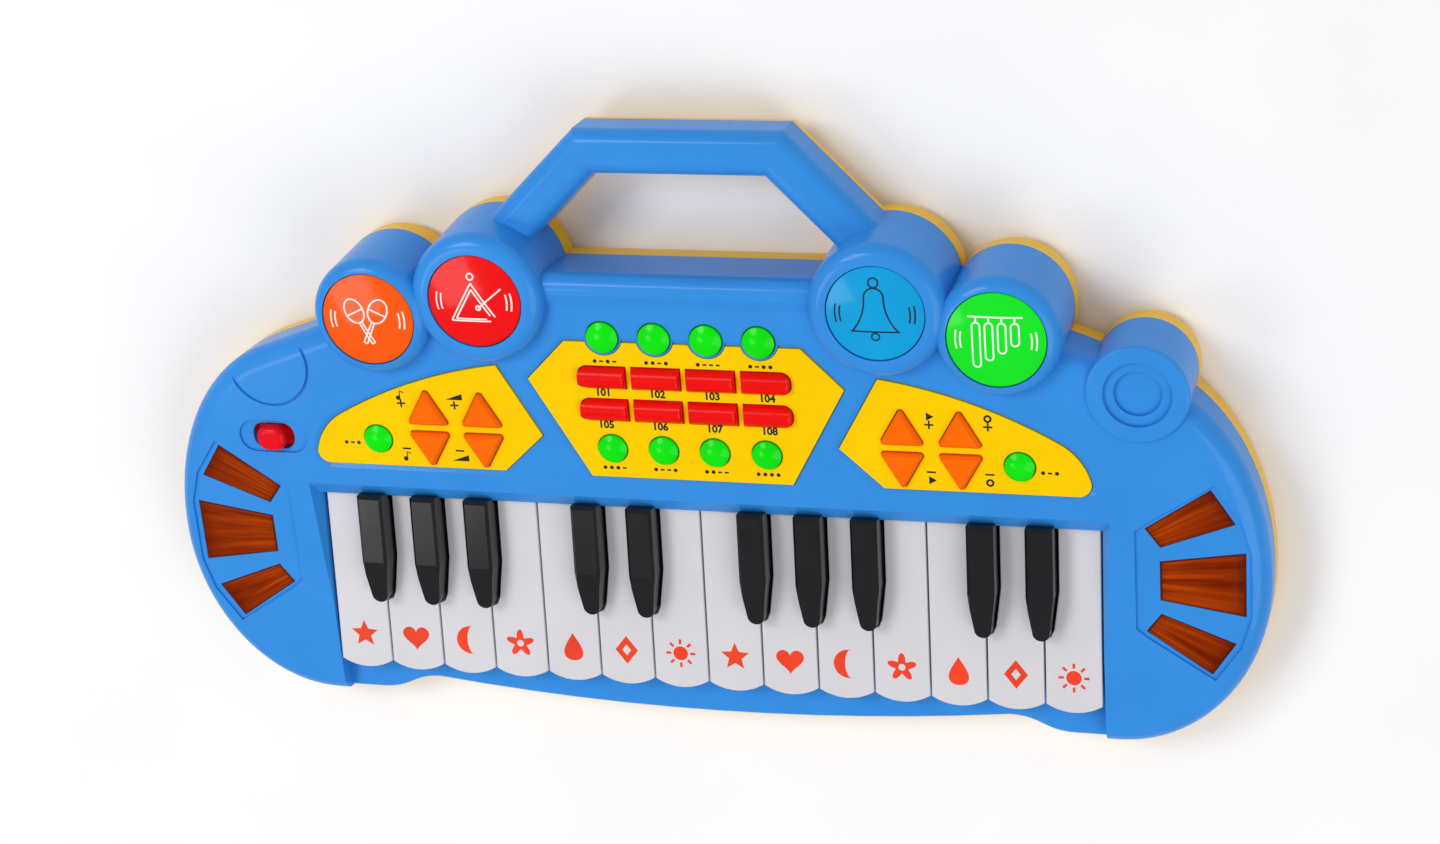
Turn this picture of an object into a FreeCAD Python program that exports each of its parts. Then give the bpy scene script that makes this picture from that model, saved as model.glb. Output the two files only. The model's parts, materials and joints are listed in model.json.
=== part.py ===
import FreeCAD, Part
import math
import os

import Sketcher

# A toy piano: a blue top shell and a yellow bottom shell that hold hooked keys, buttons,
# drum pads, light windows, boards, battery cells and a speaker.
# +X runs along the keyboard, +Y towards the handle, +Z up, with the table at Z = 0.
# Places "behind the key line" are measured from the notches between the white key tips.
# Places on the deck are u (along X) and v (up the slope) from the deck's reference line,
# and heights over it, square to the slope, are w.

WHITE_KEYS = 14
BLACK_AFTER_WHITE = (1, 2, 3, 5, 6, 8, 9, 10, 12, 13)
RED_BARS = 4
BATTERY_CELLS = 3
LAMP_SHARES = (-0.7, 0.0, 0.7)
FAR = 400.0
NEAR = 0.1

SIZES = (
    ("half_length", 177.0, "middle of the case to the end of its rounded side"),
    ("end_width", 50.5, "end cap beside the key opening"),
    ("key_line_y", -82.6, "line through the notches between the white key tips"),
    ("seam_z", 11.0, "parting line of the two shells"),
    ("base_z", 1.2, "underside of the bottom shell, which is the height of its feet"),
    ("wall", 2.2, "side walls of both shells"),
    ("deck_wall", 3.0, "deck thickness"),
    ("floor_wall", 2.0, "floor of the bottom shell"),
    ("deck_tilt", 5.7, "slope of the deck in degrees"),
    ("deck_ref_y", 68.0, "deck reference line behind the key line"),
    ("deck_ref_rise", 6.0, "deck reference line over the white key tops"),
    ("edge_radius", 6.0, "rounding along the edge of the deck"),
    ("base_radius", 3.0, "rounding along the bottom edge"),
    ("lip_reach", 14.8, "middle of the front lip before the key line"),
    ("lip_bow", 5.6, "how far the middle of the lip stands before its ends"),
    ("lip_drop", 7.5, "lip under the white key tops"),
    ("lip_back", 3.0, "back edge of the lip shelf behind the key line"),
    ("lip_radius", 2.0, "rounding of the lip's front edge"),
    ("foot_reach", 14.0, "front of the end caps before the key line"),
    ("end_centre_y", 44.0, "centre of the rounded ends behind the key line"),
    ("end_back", 66.0, "rounded end from its centre to the back"),
    ("back_wall_y", 137.0, "back wall of the deck, in the handle opening"),
    ("key_top_z", 21.0, "top of the white keys"),
    ("key_gap", 0.6, "gap between white keys"),
    ("key_reach", 0.7, "corners of the white key tips before the key line"),
    ("key_edge", 0.4, "rounded edge of a white key top"),
    ("key_swing", 3.0, "how far a key turns, in degrees"),
    ("white_plate", 2.4, "thickness of a white key's top plate"),
    ("white_depth", 7.0, "depth of the key skirts"),
    ("skirt_start", 4.6, "front end of the key skirts behind the key line"),
    ("skirt_wall", 1.6, "thickness of the key skirts"),
    ("key_visible", 57.0, "back edge of the key opening"),
    ("opening_side_gap", 0.5, "gap between the end keys and the case"),
    ("opening_bevel_back", 5.3, "bevel behind the keys"),
    ("opening_bevel_side", 2.6, "bevel beside the keys"),
    ("opening_bevel_start", 1.0, "foot of the bevels over the white key tops"),
    ("opening_bevel_height", 4.4, "height of the bevels"),
    ("hinge_y", 66.0, "key rail behind the key line"),
    ("hinge_drop", 5.5, "key rail under the white key tops"),
    ("bead_radius", 2.0, "round bead of the key rail"),
    ("hinge_clearance", 0.25, "key hooks around the bead"),
    ("rail_web", 1.6, "web that carries the bead"),
    ("key_tail", 4.0, "key behind its hinge"),
    ("plunger_y", 30.5, "contact block of a white key"),
    ("plunger_length", 5.0, "length of the contact blocks"),
    ("black_rise", 8.0, "black key over the white key tops"),
    ("black_nose_y", 21.8, "front of a black key behind the key line"),
    ("black_nose_radius", 2.6, "rounded nose of a black key"),
    ("black_taper_y", 37.0, "where a black key starts to narrow"),
    ("black_nose_drop", 3.4, "how far the nose slopes down"),
    ("black_bevel", 0.9, "bevel around the top of a black key"),
    ("black_back_gap", 0.8, "black key before the edge of the deck"),
    ("black_overhang", 3.2, "top of a black key over the bevel of the deck"),
    ("black_arm_drop", 1.5, "arm of a black key under the white key tops"),
    ("black_side_clear", 0.5, "white key beside a black key"),
    ("black_nose_clear", 0.8, "white key before a black key's nose"),
    ("black_plunger_y", 38.0, "contact block of a black key"),
    ("inner_pod_y", 129.6, "inner pods behind the key line"),
    ("outer_pod_y", 122.5, "outer pods behind the key line"),
    ("pod_rise", 6.0, "pods over the deck"),
    ("pod_round", 4.5, "rounded rim of a pod"),
    ("pad_gap", 0.4, "gap around a drum pad"),
    ("pad_edge", -0.4, "edge of a drum pad over the top of its pod"),
    ("pad_crown", 1.3, "crown of a drum pad over its edge"),
    ("pad_flange", 1.0, "flange around a drum pad"),
    ("pad_travel", 2.0, "travel of a drum pad"),
    ("ridge_y", 126.8, "foot of the ridge along the back of the deck"),
    ("ridge_bevel", 3.8, "front bevel of the ridge"),
    ("ridge_rise", 1.5, "ridge over the deck"),
    ("ridge_radius", 4.5, "rounded back edge of the ridge"),
    ("handle_reach", 180.0, "back of the handle behind the key line"),
    ("handle_bar", 14.0, "width of the handle bar"),
    ("handle_root_x", 2.6, "end of an arm before the middle of its pod, along X"),
    ("handle_root_y", 3.4, "end of an arm behind the middle of its pod"),
    ("handle_top_z", 27.0, "top of the handle"),
    ("handle_bottom_z", 5.0, "underside of the handle"),
    ("handle_radius", 4.5, "rounded edges of the handle"),
    ("plate_thick", 1.0, "panel plates, flush with the deck"),
    ("plate_gap", 0.25, "gap around a panel plate"),
    ("recess_bevel", 1.5, "bevelled border of the panel recesses"),
    ("recess_bevel_depth", 0.6, "depth of that border"),
    ("hex_top_v", 47.2, "top corner of the middle plate"),
    ("hex_vertex_v", 34.2, "widest corner of the middle plate"),
    ("hex_bottom_v", 1.8, "bottom corner of the middle plate"),
    ("side_top_v", 38.2, "top corner of a side plate"),
    ("side_crown_v", 30.4, "middle of a side plate's curved top"),
    ("side_shoulder_v", 18.9, "end of a side plate's curved top"),
    ("side_nose_bulge", 1.6, "bulge between shoulder and outer end"),
    ("side_corner", 4.0, "rounded outer corner of a side plate"),
    ("side_bottom_v", 2.2, "bottom edge of a side plate"),
    ("side_vertex_v", 14.8, "inner corner of a side plate"),
    ("cap_clearance", 0.35, "gap around the button caps"),
    ("cap_flange", 1.1, "flange that keeps a cap in the deck"),
    ("cap_flange_thick", 1.0, "flange that keeps a cap in the deck"),
    ("cap_seat", 0.3, "flange under the deck at rest"),
    ("button_travel", 1.6, "travel of the buttons"),
    ("green_radius", 4.6, "lower green buttons and those of the side panels"),
    ("green_upper_radius", 5.0, "upper green buttons"),
    ("green_edge", 0.7, "edge of a green button over the deck"),
    ("green_crown", 1.5, "dome of a green button over its edge"),
    ("green_upper_v", 49.0, "upper green buttons"),
    ("green_lower_v", 11.6, "lower green buttons"),
    ("green_side_v", 11.4, "green button of a side panel"),
    ("socket_radius", 5.9, "blue sockets around the upper green buttons"),
    ("red_width", 7.0, "red bar"),
    ("red_edge", 0.4, "long edges of a red bar over the deck"),
    ("red_crown", 2.2, "round top of a red bar over its long edges"),
    ("red_end", 1.0, "faceted ends of a red bar"),
    ("red_round", 3.0, "rounded outer corners of a row of red bars"),
    ("red_upper_v", 35.6, "upper red bars"),
    ("red_lower_v", 24.7, "lower red bars"),
    ("triangle_height", 12.0, "orange triangles"),
    ("triangle_corner", 0.8, "rounded corners of the triangles"),
    ("triangle_rise", 1.9, "triangles over the deck"),
    ("triangle_bevel", 0.8, "bevel around the top of a triangle"),
    ("triangle_upper_v", 23.3, "middle of the upper triangles"),
    ("triangle_lower_v", 8.5, "middle of the lower triangles"),
    ("fan_axis_v", -24.9, "middle line of the light windows"),
    ("fan_depth", 0.8, "recess around the light windows"),
    ("fan_step_half", 16.5, "half length of the inner step"),
    ("fan_margin", 2.0, "recess around the windows"),
    ("window_inner_half", 6.4, "half of the middle window's inner end"),
    ("window_outer_half", 10.5, "half of the middle window's outer end"),
    ("ray_inner_low_v", 11.4, "the same corner from the middle line"),
    ("ray_outer_low_v", 20.1, "the same corner from the middle line"),
    ("ray_outer_high_v", 30.8, "the same corner from the middle line"),
    ("ray_inner_high_v", 17.3, "the same corner from the middle line"),
    ("window_gap", 0.2, "gap around a light window"),
    ("window_flange", 1.2, "flange of a light window under the deck"),
    ("window_flange_thick", 1.0, "flange of a light window under the deck"),
    ("switch_v", 10.4, "slide switch"),
    ("switch_recess_length", 23.5, "oblong recess of the switch"),
    ("switch_recess_width", 11.0, "oblong recess of the switch"),
    ("switch_recess_depth", 0.8, "oblong recess of the switch"),
    ("knob_length", 9.6, "switch knob"),
    ("knob_width", 8.4, "switch knob"),
    ("knob_rise", 2.8, "switch knob over the deck"),
    ("knob_corner", 3.6, "rounded corners of the knob"),
    ("knob_top_radius", 1.9, "rounded top edge of the knob"),
    ("knob_clearance", 0.3, "gap around the knob"),
    ("knob_flange", 4.6, "slider plate around the knob"),
    ("switch_throw", 2.0, "travel of the knob each way"),
    ("ring_v", 36.7, "round ring on the right"),
    ("ring_radius", 15.5, "round ring"),
    ("ring_rise", 1.2, "ring over the deck"),
    ("ring_round", 1.0, "rounded rim of the ring"),
    ("ring_bore", 10.3, "step inside the ring"),
    ("ring_bore_depth", 1.2, "step inside the ring"),
    ("ring_dish", 7.2, "dished middle of the ring"),
    ("ring_dish_depth", 2.4, "dished middle of the ring"),
    ("disc_v", 35.2, "round groove on the left"),
    ("disc_radius", 14.0, "round groove on the left"),
    ("groove_width", 1.0, "round groove on the left"),
    ("groove_depth", 0.8, "round groove on the left"),
    ("board_thick", 1.6, "circuit boards"),
    ("mat_thick", 0.6, "rubber contact mats"),
    ("dome_radius", 2.5, "rubber domes"),
    ("dome_height", 0.5, "pressed height of the rubber domes"),
    ("press_gap", 0.3, "moving piece over its pressed dome"),
    ("post_radius", 2.0, "posts that carry the panel boards"),
    ("post_root", 1.0, "how far the posts run into the deck"),
    ("board_margin", 1.0, "boards past their posts"),
    ("side_post_shift", 1.0, "side board post past the middle between triangle and green button"),
    ("switch_post_u", 6.6, "post of the switch board beside the knob"),
    ("switch_post_v", 8.8, "post of the switch board above the knob"),
    ("middle_board_low_v", 4.5, "middle panel board"),
    ("middle_board_high_v", 55.5, "middle panel board"),
    ("side_board_low_v", 3.0, "side panel boards"),
    ("side_board_high_v", 30.0, "side panel boards"),
    ("switch_board_half", 11.5, "board of the slide switch"),
    ("pad_post_radius", 4.0, "posts under the pad boards"),
    ("lamp_board_half", 20.0, "half width of a lamp board"),
    ("lamp_board_drop", 6.0, "lamp board under the windows' flanges"),
    ("lamp_radius", 2.5, "lamps on the lamp boards"),
    ("key_board_front", 22.0, "key board behind the key line"),
    ("key_board_back", 58.0, "key board behind the key line"),
    ("key_board_post", 3.0, "posts under the key board"),
    ("cell_radius", 7.25, "battery cells"),
    ("cell_length", 49.2, "battery cells without their nubs"),
    ("nub_radius", 2.75, "battery cell nub"),
    ("nub_length", 1.2, "battery cell nub"),
    ("cell_pitch", 15.0, "battery cell spacing"),
    ("cell_middle_y", 104.0, "middle cell behind the key line"),
    ("cell_gap", 0.3, "battery cells in their box"),
    ("box_wall", 1.4, "battery box"),
    ("spring_length", 3.0, "battery springs"),
    ("spring_radius", 3.4, "battery springs"),
    ("contact_thick", 0.5, "contact tabs"),
    ("contact_width", 9.0, "contact tabs"),
    ("contact_height", 10.0, "contact tabs"),
    ("door_ledge", 2.2, "ledge that the battery door lies against"),
    ("door_gap", 0.3, "gap around the battery door"),
    ("door_thick", 1.1, "battery door"),
    ("door_ear", 10.0, "screwed ear of the battery door"),
    ("speaker_y", 92.0, "speaker behind the key line"),
    ("speaker_radius", 21.0, "speaker frame"),
    ("speaker_frame", 1.5, "speaker frame thickness"),
    ("speaker_cone", 11.5, "narrow end of the speaker basket"),
    ("speaker_basket", 7.0, "depth of the speaker basket"),
    ("magnet_radius", 9.0, "speaker magnet"),
    ("magnet_height", 5.0, "speaker magnet"),
    ("speaker_ring", 1.6, "wall around the speaker"),
    ("speaker_ring_height", 3.5, "wall around the speaker"),
    ("speaker_gap", 0.3, "gap around the speaker"),
    ("grille_slot", 2.4, "width of the grille slots"),
    ("grille_pitch", 6.0, "grille slot spacing"),
    ("screw_radius", 1.4, "case screws"),
    ("screw_head", 2.8, "case screw heads"),
    ("screw_head_height", 2.0, "case screw heads"),
    ("screw_grip", 6.0, "case screws in the top shell"),
    ("pilot_spare", 0.6, "pilot hole past the tip of its screw"),
    ("screw_clearance", 0.1, "gap around the screws"),
    ("screw_floor", 3.0, "material between a screw head and the seam"),
    ("boss_radius", 3.4, "screw bosses"),
    ("foot_screw_y", -3.0, "front screws behind the key line"),
    ("side_screw_y", 60.5, "side screws behind the key line"),
    ("back_screw_y", 133.0, "back screws behind the key line"),
    ("foot_radius", 7.0, "moulded feet"),
    ("foot_front_y", 4.0, "front feet behind the key line"),
    ("foot_back_y", 121.0, "back feet behind the key line"),
)

# Sizes along the length, which stretch together with half_length
LENGTHWISE = (
    ("lip_half", 95.0, "half length of the bowed lip"),
    ("foot_inner", 116.0, "where the front bulge of an end cap is full"),
    ("end_centre_x", 130.0, "centre of the rounded ends"),
    ("key_pitch", 18.0, "white key spacing"),
    ("key_tip_radius", 15.9, "arch of a white key tip"),
    ("black_width", 8.5, "black key"),
    ("black_arm", 6.8, "arm of a black key under the deck"),
    ("inner_pod_x", 62.6, "inner pods"),
    ("inner_pod_radius", 21.2, "inner pods"),
    ("outer_pod_x", 98.4, "outer pods"),
    ("outer_pod_radius", 18.9, "outer pods"),
    ("pad_radius", 14.8, "drum pads"),
    ("handle_half", 27.0, "half length of the grip's inner edge"),
    ("hex_top_u", 37.4, "top corner of the middle plate"),
    ("hex_vertex_u", 50.2, "widest corner of the middle plate"),
    ("hex_bottom_u", 32.3, "bottom corner of the middle plate"),
    ("side_top_u", 60.6, "top corner of a side plate"),
    ("side_crown_u", 91.0, "middle of a side plate's curved top"),
    ("side_shoulder_u", 115.5, "end of a side plate's curved top"),
    ("side_nose_u", 124.2, "outer end of a side plate"),
    ("side_bottom_u", 60.9, "bottom corner of a side plate"),
    ("side_vertex_u", 47.5, "inner corner of a side plate"),
    ("green_inner_u", 8.2, "inner green buttons"),
    ("green_outer_u", 24.7, "outer green buttons"),
    ("green_side_u", 102.8, "green button of a side panel"),
    ("red_length", 15.2, "red bar"),
    ("red_pitch", 17.4, "red bar spacing"),
    ("triangle_width", 13.8, "orange triangles"),
    ("triangle_inner_u", 67.1, "inner triangles"),
    ("triangle_outer_u", 85.0, "outer triangles"),
    ("fan_step_u", 136.5, "inner step of that recess"),
    ("window_inner_u", 144.1, "inner end of the middle window"),
    ("window_outer_u", 169.4, "outer end of the middle window"),
    ("ray_inner_low_u", 144.2, "side window, inner end, corner near the middle line"),
    ("ray_outer_low_u", 166.3, "side window, outer end, corner near the middle line"),
    ("ray_outer_high_u", 159.3, "side window, outer end, far corner"),
    ("ray_inner_high_u", 139.8, "side window, inner end, far corner"),
    ("switch_u", -139.2, "slide switch"),
    ("ring_u", 138.5, "round ring on the right"),
    ("disc_u", -137.5, "round groove on the left"),
    ("middle_board_half", 46.0, "middle panel board"),
    ("side_board_inner_u", 56.0, "side panel boards"),
    ("side_board_outer_u", 117.0, "side panel boards"),
    ("pad_board_radius", 12.0, "round boards under the drum pads"),
    ("lamp_board_inner_u", 142.0, "lamp boards under the light windows"),
    ("lamp_board_outer_u", 162.0, "lamp boards under the light windows"),
    ("key_board_half", 121.0, "key board"),
    ("speaker_x", -98.0, "speaker"),
    ("foot_screw_x", 132.5, "front screws"),
    ("side_screw_x", 132.5, "side screws"),
    ("back_screw_x", 43.0, "back screws"),
    ("handle_screw_x", 20.0, "handle screws"),
    ("foot_front_x", 140.0, "front feet"),
    ("foot_back_x", 98.0, "back feet"),
)


class Size:
    """A number together with the sheet expression that it comes from."""

    def __init__(self, value, text):
        self.value = value
        self.text = text

    def __float__(self):
        return float(self.value)

    def __add__(self, other):
        other = as_size(other)
        return Size(self.value + other.value, f"({self.text} + {other.text})")

    def __sub__(self, other):
        other = as_size(other)
        return Size(self.value - other.value, f"({self.text} - {other.text})")

    def __mul__(self, other):
        other = as_size(other)
        return Size(self.value * other.value, f"({self.text} * {other.text})")

    def __truediv__(self, other):
        other = as_size(other)
        return Size(self.value / other.value, f"({self.text} / {other.text})")

    def __neg__(self):
        return Size(-self.value, f"(0 - {self.text})")

    def __radd__(self, other):
        return as_size(other) + self

    def __rsub__(self, other):
        return as_size(other) - self

    def __rmul__(self, other):
        return as_size(other) * self


def as_size(number):
    """Give a plain number the form of a size."""
    if isinstance(number, Size):
        return number
    return Size(float(number), repr(float(number)))


def sine(angle):
    return Size(math.sin(math.radians(angle.value)), f"sin({angle.text} * 1 deg)")


def cosine(angle):
    return Size(math.cos(math.radians(angle.value)), f"cos({angle.text} * 1 deg)")


class Sizes:
    """The driving dimensions: a sheet with one aliased cell for each."""

    def __init__(self, doc):
        drawn_half = f"drawn_key_pitch * {WHITE_KEYS} / 2 + opening_side_gap + end_width"
        rows = [(name, repr(value), meaning) for name, value, meaning in SIZES]
        rows += [(f"drawn_{name}", repr(value), meaning) for name, value, meaning in LENGTHWISE]
        rows.append(("stretch", f"=half_length / ({drawn_half})", "half length over the drawn one"))
        rows += [(name, f"=drawn_{name} * stretch", meaning) for name, _, meaning in LENGTHWISE]
        self.sheet = doc.addObject("Spreadsheet::Sheet", "Sizes")
        for row, (name, cell, meaning) in enumerate(rows, start=1):
            self.sheet.set(f"A{row}", meaning)
            self.sheet.set(f"B{row}", cell)
            self.sheet.setAlias(f"B{row}", name)
        doc.recompute()

    def __getattr__(self, name):
        return Size(float(getattr(self.sheet, name)), f"Sizes.{name}")


doc = FreeCAD.newDocument("ToyPiano")
size = Sizes(doc)
nodes = []


def vector(x, y, z=0.0):
    return FreeCAD.Vector(float(x), float(y), float(z))


def register(item, label):
    """Name a finished sub-part and keep it for writing."""
    item.Label = label
    nodes.append(item)
    return item


def bind(item, **values):
    """Tie properties of an object to the sheet."""
    for name, value in values.items():
        item.setExpression(name, as_size(value).text)


def behind(distance):
    """Y of a place that lies so far behind the key line."""
    return size.key_line_y + distance


def place(item, x, y, z):
    for axis, value in zip("xyz", (x, y, z)):
        item.setExpression(f"Placement.Base.{axis}", as_size(value).text)


def deck_point(u, v, w=0.0):
    """Place on the deck as X, Y and Z."""
    tilt = size.deck_tilt
    y = behind(size.deck_ref_y) + as_size(v) * cosine(tilt) - as_size(w) * sine(tilt)
    z = size.key_top_z + size.deck_ref_rise + as_size(v) * sine(tilt) + as_size(w) * cosine(tilt)
    return as_size(u), y, z


def place_on_deck(item, u, v, turned=False):
    """Stand an object on the deck, square to the slope, if need be turned half round."""
    item.Placement = FreeCAD.Placement(vector(0, 0), FreeCAD.Rotation(0, 0, 0))
    place(item, *deck_point(u, v))
    tilt = FreeCAD.Rotation(vector(1, 0), float(size.deck_tilt))
    half_turn = FreeCAD.Rotation(vector(0, 0, 1), 180.0 if turned else 0.0)
    item.Placement = FreeCAD.Placement(item.Placement.Base, tilt.multiply(half_turn))


# Sketches and body features


def new_body(label):
    return register(doc.addObject("PartDesign::Body", label), label)


def new_sketch(body, role="XY_Plane", offset=None):
    """Start a sketch on one of a body's own origin planes, moved along its normal."""
    sketch = body.newObject("Sketcher::SketchObject", f"{body.Name}Sketch")
    planes = [item for item in body.Origin.OriginFeatures if item.Role == role]
    sketch.AttachmentSupport = [(planes[0], "")]
    sketch.MapMode = "FlatFace"
    if offset is not None:
        bind(sketch, **{"AttachmentOffset.Base.z": offset})
    return sketch


def constrain(sketch, constraint, value):
    index = sketch.addConstraint(constraint)
    sketch.setExpression(f"Constraints[{index}]", value.text)


def pin_point(sketch, edge, position, corner):
    """Hold a point of an edge at a place given by two sizes."""
    for kind, axis, value in zip(("DistanceX", "DistanceY"), (-2, -1), map(as_size, corner)):
        if value.value == 0.0:
            sketch.addConstraint(Sketcher.Constraint("PointOnObject", edge, position, axis))
        else:
            distance = Sketcher.Constraint(kind, -1, 1, edge, position, value.value)
            constrain(sketch, distance, value)


def bulged_edge(start, end, radius):
    """Arc that bulges outwards from a chord of a counter-clockwise outline."""
    chord = end - start
    outward = vector(chord.y, -chord.x).normalize()
    height = math.sqrt(radius ** 2 - (chord.Length / 2) ** 2)
    centre = (start + end) / 2 - outward * height
    first = math.atan2(start.y - centre.y, start.x - centre.x)
    last = math.atan2(end.y - centre.y, end.x - centre.x)
    return Part.ArcOfCircle(Part.Circle(centre, vector(0, 0, 1), radius), first, last)


def draw_outline(sketch, corners, arcs=None):
    """Draw a closed counter-clockwise outline; arcs maps an edge to its outward radius."""
    arcs = arcs or {}
    base = sketch.GeometryCount
    count = len(corners)
    points = [vector(x, y) for x, y in corners]
    for index in range(count):
        start, end = points[index], points[(index + 1) % count]
        if index in arcs:
            sketch.addGeometry(bulged_edge(start, end, float(arcs[index])), False)
        else:
            sketch.addGeometry(Part.LineSegment(start, end), False)
    for index, corner in enumerate(corners):
        following = base + (index + 1) % count
        sketch.addConstraint(Sketcher.Constraint("Coincident", base + index, 2, following, 1))
        pin_point(sketch, base + index, 1, corner)
        if index in arcs:
            radius = as_size(arcs[index])
            constrain(sketch, Sketcher.Constraint("Radius", base + index, radius.value), radius)


def draw_rectangle(sketch, left, right, low, high):
    draw_outline(sketch, [(left, low), (right, low), (right, high), (left, high)])


def draw_rounded(sketch, half_x, half_y, radius):
    """Draw a rectangle around the origin with rounded corners."""
    x, y = half_x - radius, half_y - radius
    corners = [(-x, -half_y), (x, -half_y), (half_x, -y), (half_x, y),
               (x, half_y), (-x, half_y), (-half_x, y), (-half_x, -y)]
    draw_outline(sketch, corners, {index: radius for index in (1, 3, 5, 7)})


def draw_circle(sketch, centre, radius):
    middle = vector(*centre)
    edge = sketch.addGeometry(Part.Circle(middle, vector(0, 0, 1), float(radius)), False)
    pin_point(sketch, edge, 3, centre)
    constrain(sketch, Sketcher.Constraint("Radius", edge, float(radius)), as_size(radius))


def feature(body, kind, sketch, length, reverse=False, symmetric=False):
    """Add a Pad or Pocket of a sketch to a body."""
    item = body.newObject(f"PartDesign::{kind}", f"{body.Name}{kind}")
    item.Profile = sketch
    item.Reversed = reverse
    if symmetric:
        item.SideType = "Symmetric"
    bind(item, Length=length)
    return item


def revolve(body, sketch):
    item = body.newObject("PartDesign::Revolution", f"{body.Name}Revolution")
    item.Profile = sketch
    item.ReferenceAxis = (sketch, ["V_Axis"])
    item.Angle = 360.0
    return item


def edges_where(item, test):
    """Names of the edges of a feature that pass a test."""
    doc.recompute()
    return [f"Edge{number}" for number, edge in enumerate(item.Shape.Edges, 1) if test(edge)]


def level_edge(height):
    """Test for edges that lie at one height of their body."""
    def at_height(edge):
        return all(abs(point.z - float(height)) < 1e-4 for point in edge.discretize(5))
    return at_height


def upright_edge(edge):
    first, last = edge.Vertexes[0].Point, edge.Vertexes[-1].Point
    return abs(first.x - last.x) + abs(first.y - last.y) < 1e-4


def round_edges(body, item, names, radius):
    fillet = body.newObject("PartDesign::Fillet", f"{body.Name}Fillet")
    fillet.Base = (item, names)
    bind(fillet, Radius=radius)
    return fillet


def bevel_edges(body, item, names, width):
    chamfer = body.newObject("PartDesign::Chamfer", f"{body.Name}Chamfer")
    chamfer.Base = (item, names)
    bind(chamfer, Size=width)
    return chamfer


# Keys


def bore_hook(body, width):
    """Cut the hinge bore, open below, that hooks over the bead of the key rail."""
    sketch = new_sketch(body, "YZ_Plane")
    draw_circle(sketch, (size.hinge_y, -size.hinge_drop), size.bead_radius + size.hinge_clearance)
    feature(body, "Pocket", sketch, width * 2, symmetric=True)


def notch_corners():
    """Edge of a white key beside a black key, from its tip to its tail, to the right."""
    axis = size.key_pitch / 2
    nose = size.black_nose_radius + size.black_side_clear
    nose_middle = size.black_nose_y + size.black_nose_radius
    diagonal = cosine(Size(45.0, "45"))
    side = size.black_width / 2 + size.black_side_clear
    return [
        (axis - size.key_gap / 2, size.black_nose_y - size.black_nose_clear),
        (axis - nose * diagonal, nose_middle - (nose + size.black_nose_clear / 2) * diagonal),
        (axis - nose, nose_middle),
        (axis - side, size.black_taper_y),
        (axis - side, size.hinge_y + size.key_tail),
    ]


def white_key(number):
    """A white key, notched beside the black keys, with a skirt and a hook at its tail."""
    body = new_body(f"white_key_{number:02d}")
    half = (size.key_pitch - size.key_gap) / 2
    tail = size.hinge_y + size.key_tail
    plain = [(half, tail)]
    right = notch_corners() if number in BLACK_AFTER_WHITE else plain
    left = notch_corners() if number - 1 in BLACK_AFTER_WHITE else plain
    corners = [(-half, -size.key_reach), (half, -size.key_reach)] + right
    corners += [(-x, y) for x, y in reversed(left)]
    sketch = new_sketch(body)
    draw_outline(sketch, corners, {0: size.key_tip_radius})
    block = feature(body, "Pad", sketch, size.white_depth, reverse=True)
    round_edges(body, block, edges_where(block, level_edge(0.0)), size.key_edge)

    undercut = new_sketch(body, offset=-size.white_depth)
    draw_rectangle(undercut, -size.key_pitch, size.key_pitch, -size.key_pitch, size.skirt_start)
    depth = size.white_depth - size.white_plate
    feature(body, "Pocket", undercut, depth, reverse=True)

    hollow = new_sketch(body, offset=-size.white_depth)
    inner = half - size.skirt_wall
    shoulder = size.black_nose_y - size.black_nose_clear - size.skirt_wall
    draw_rectangle(hollow, -inner, inner, size.skirt_start + size.skirt_wall, shoulder)
    narrow_right = right[-1][0] - size.skirt_wall
    narrow_left = size.skirt_wall - left[-1][0]
    front = size.plunger_y - size.plunger_length / 2
    back = size.plunger_y + size.plunger_length / 2
    hook = size.hinge_y - size.key_tail - size.skirt_wall
    draw_rectangle(hollow, narrow_left, narrow_right, shoulder + size.plunger_length, front)
    draw_rectangle(hollow, narrow_left, narrow_right, back, hook)
    feature(body, "Pocket", hollow, depth, reverse=True)
    bore_hook(body, size.key_pitch)
    x = size.key_pitch * (number - (WHITE_KEYS + 1) / 2)
    place(body, x, size.key_line_y, size.key_top_z)


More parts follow.
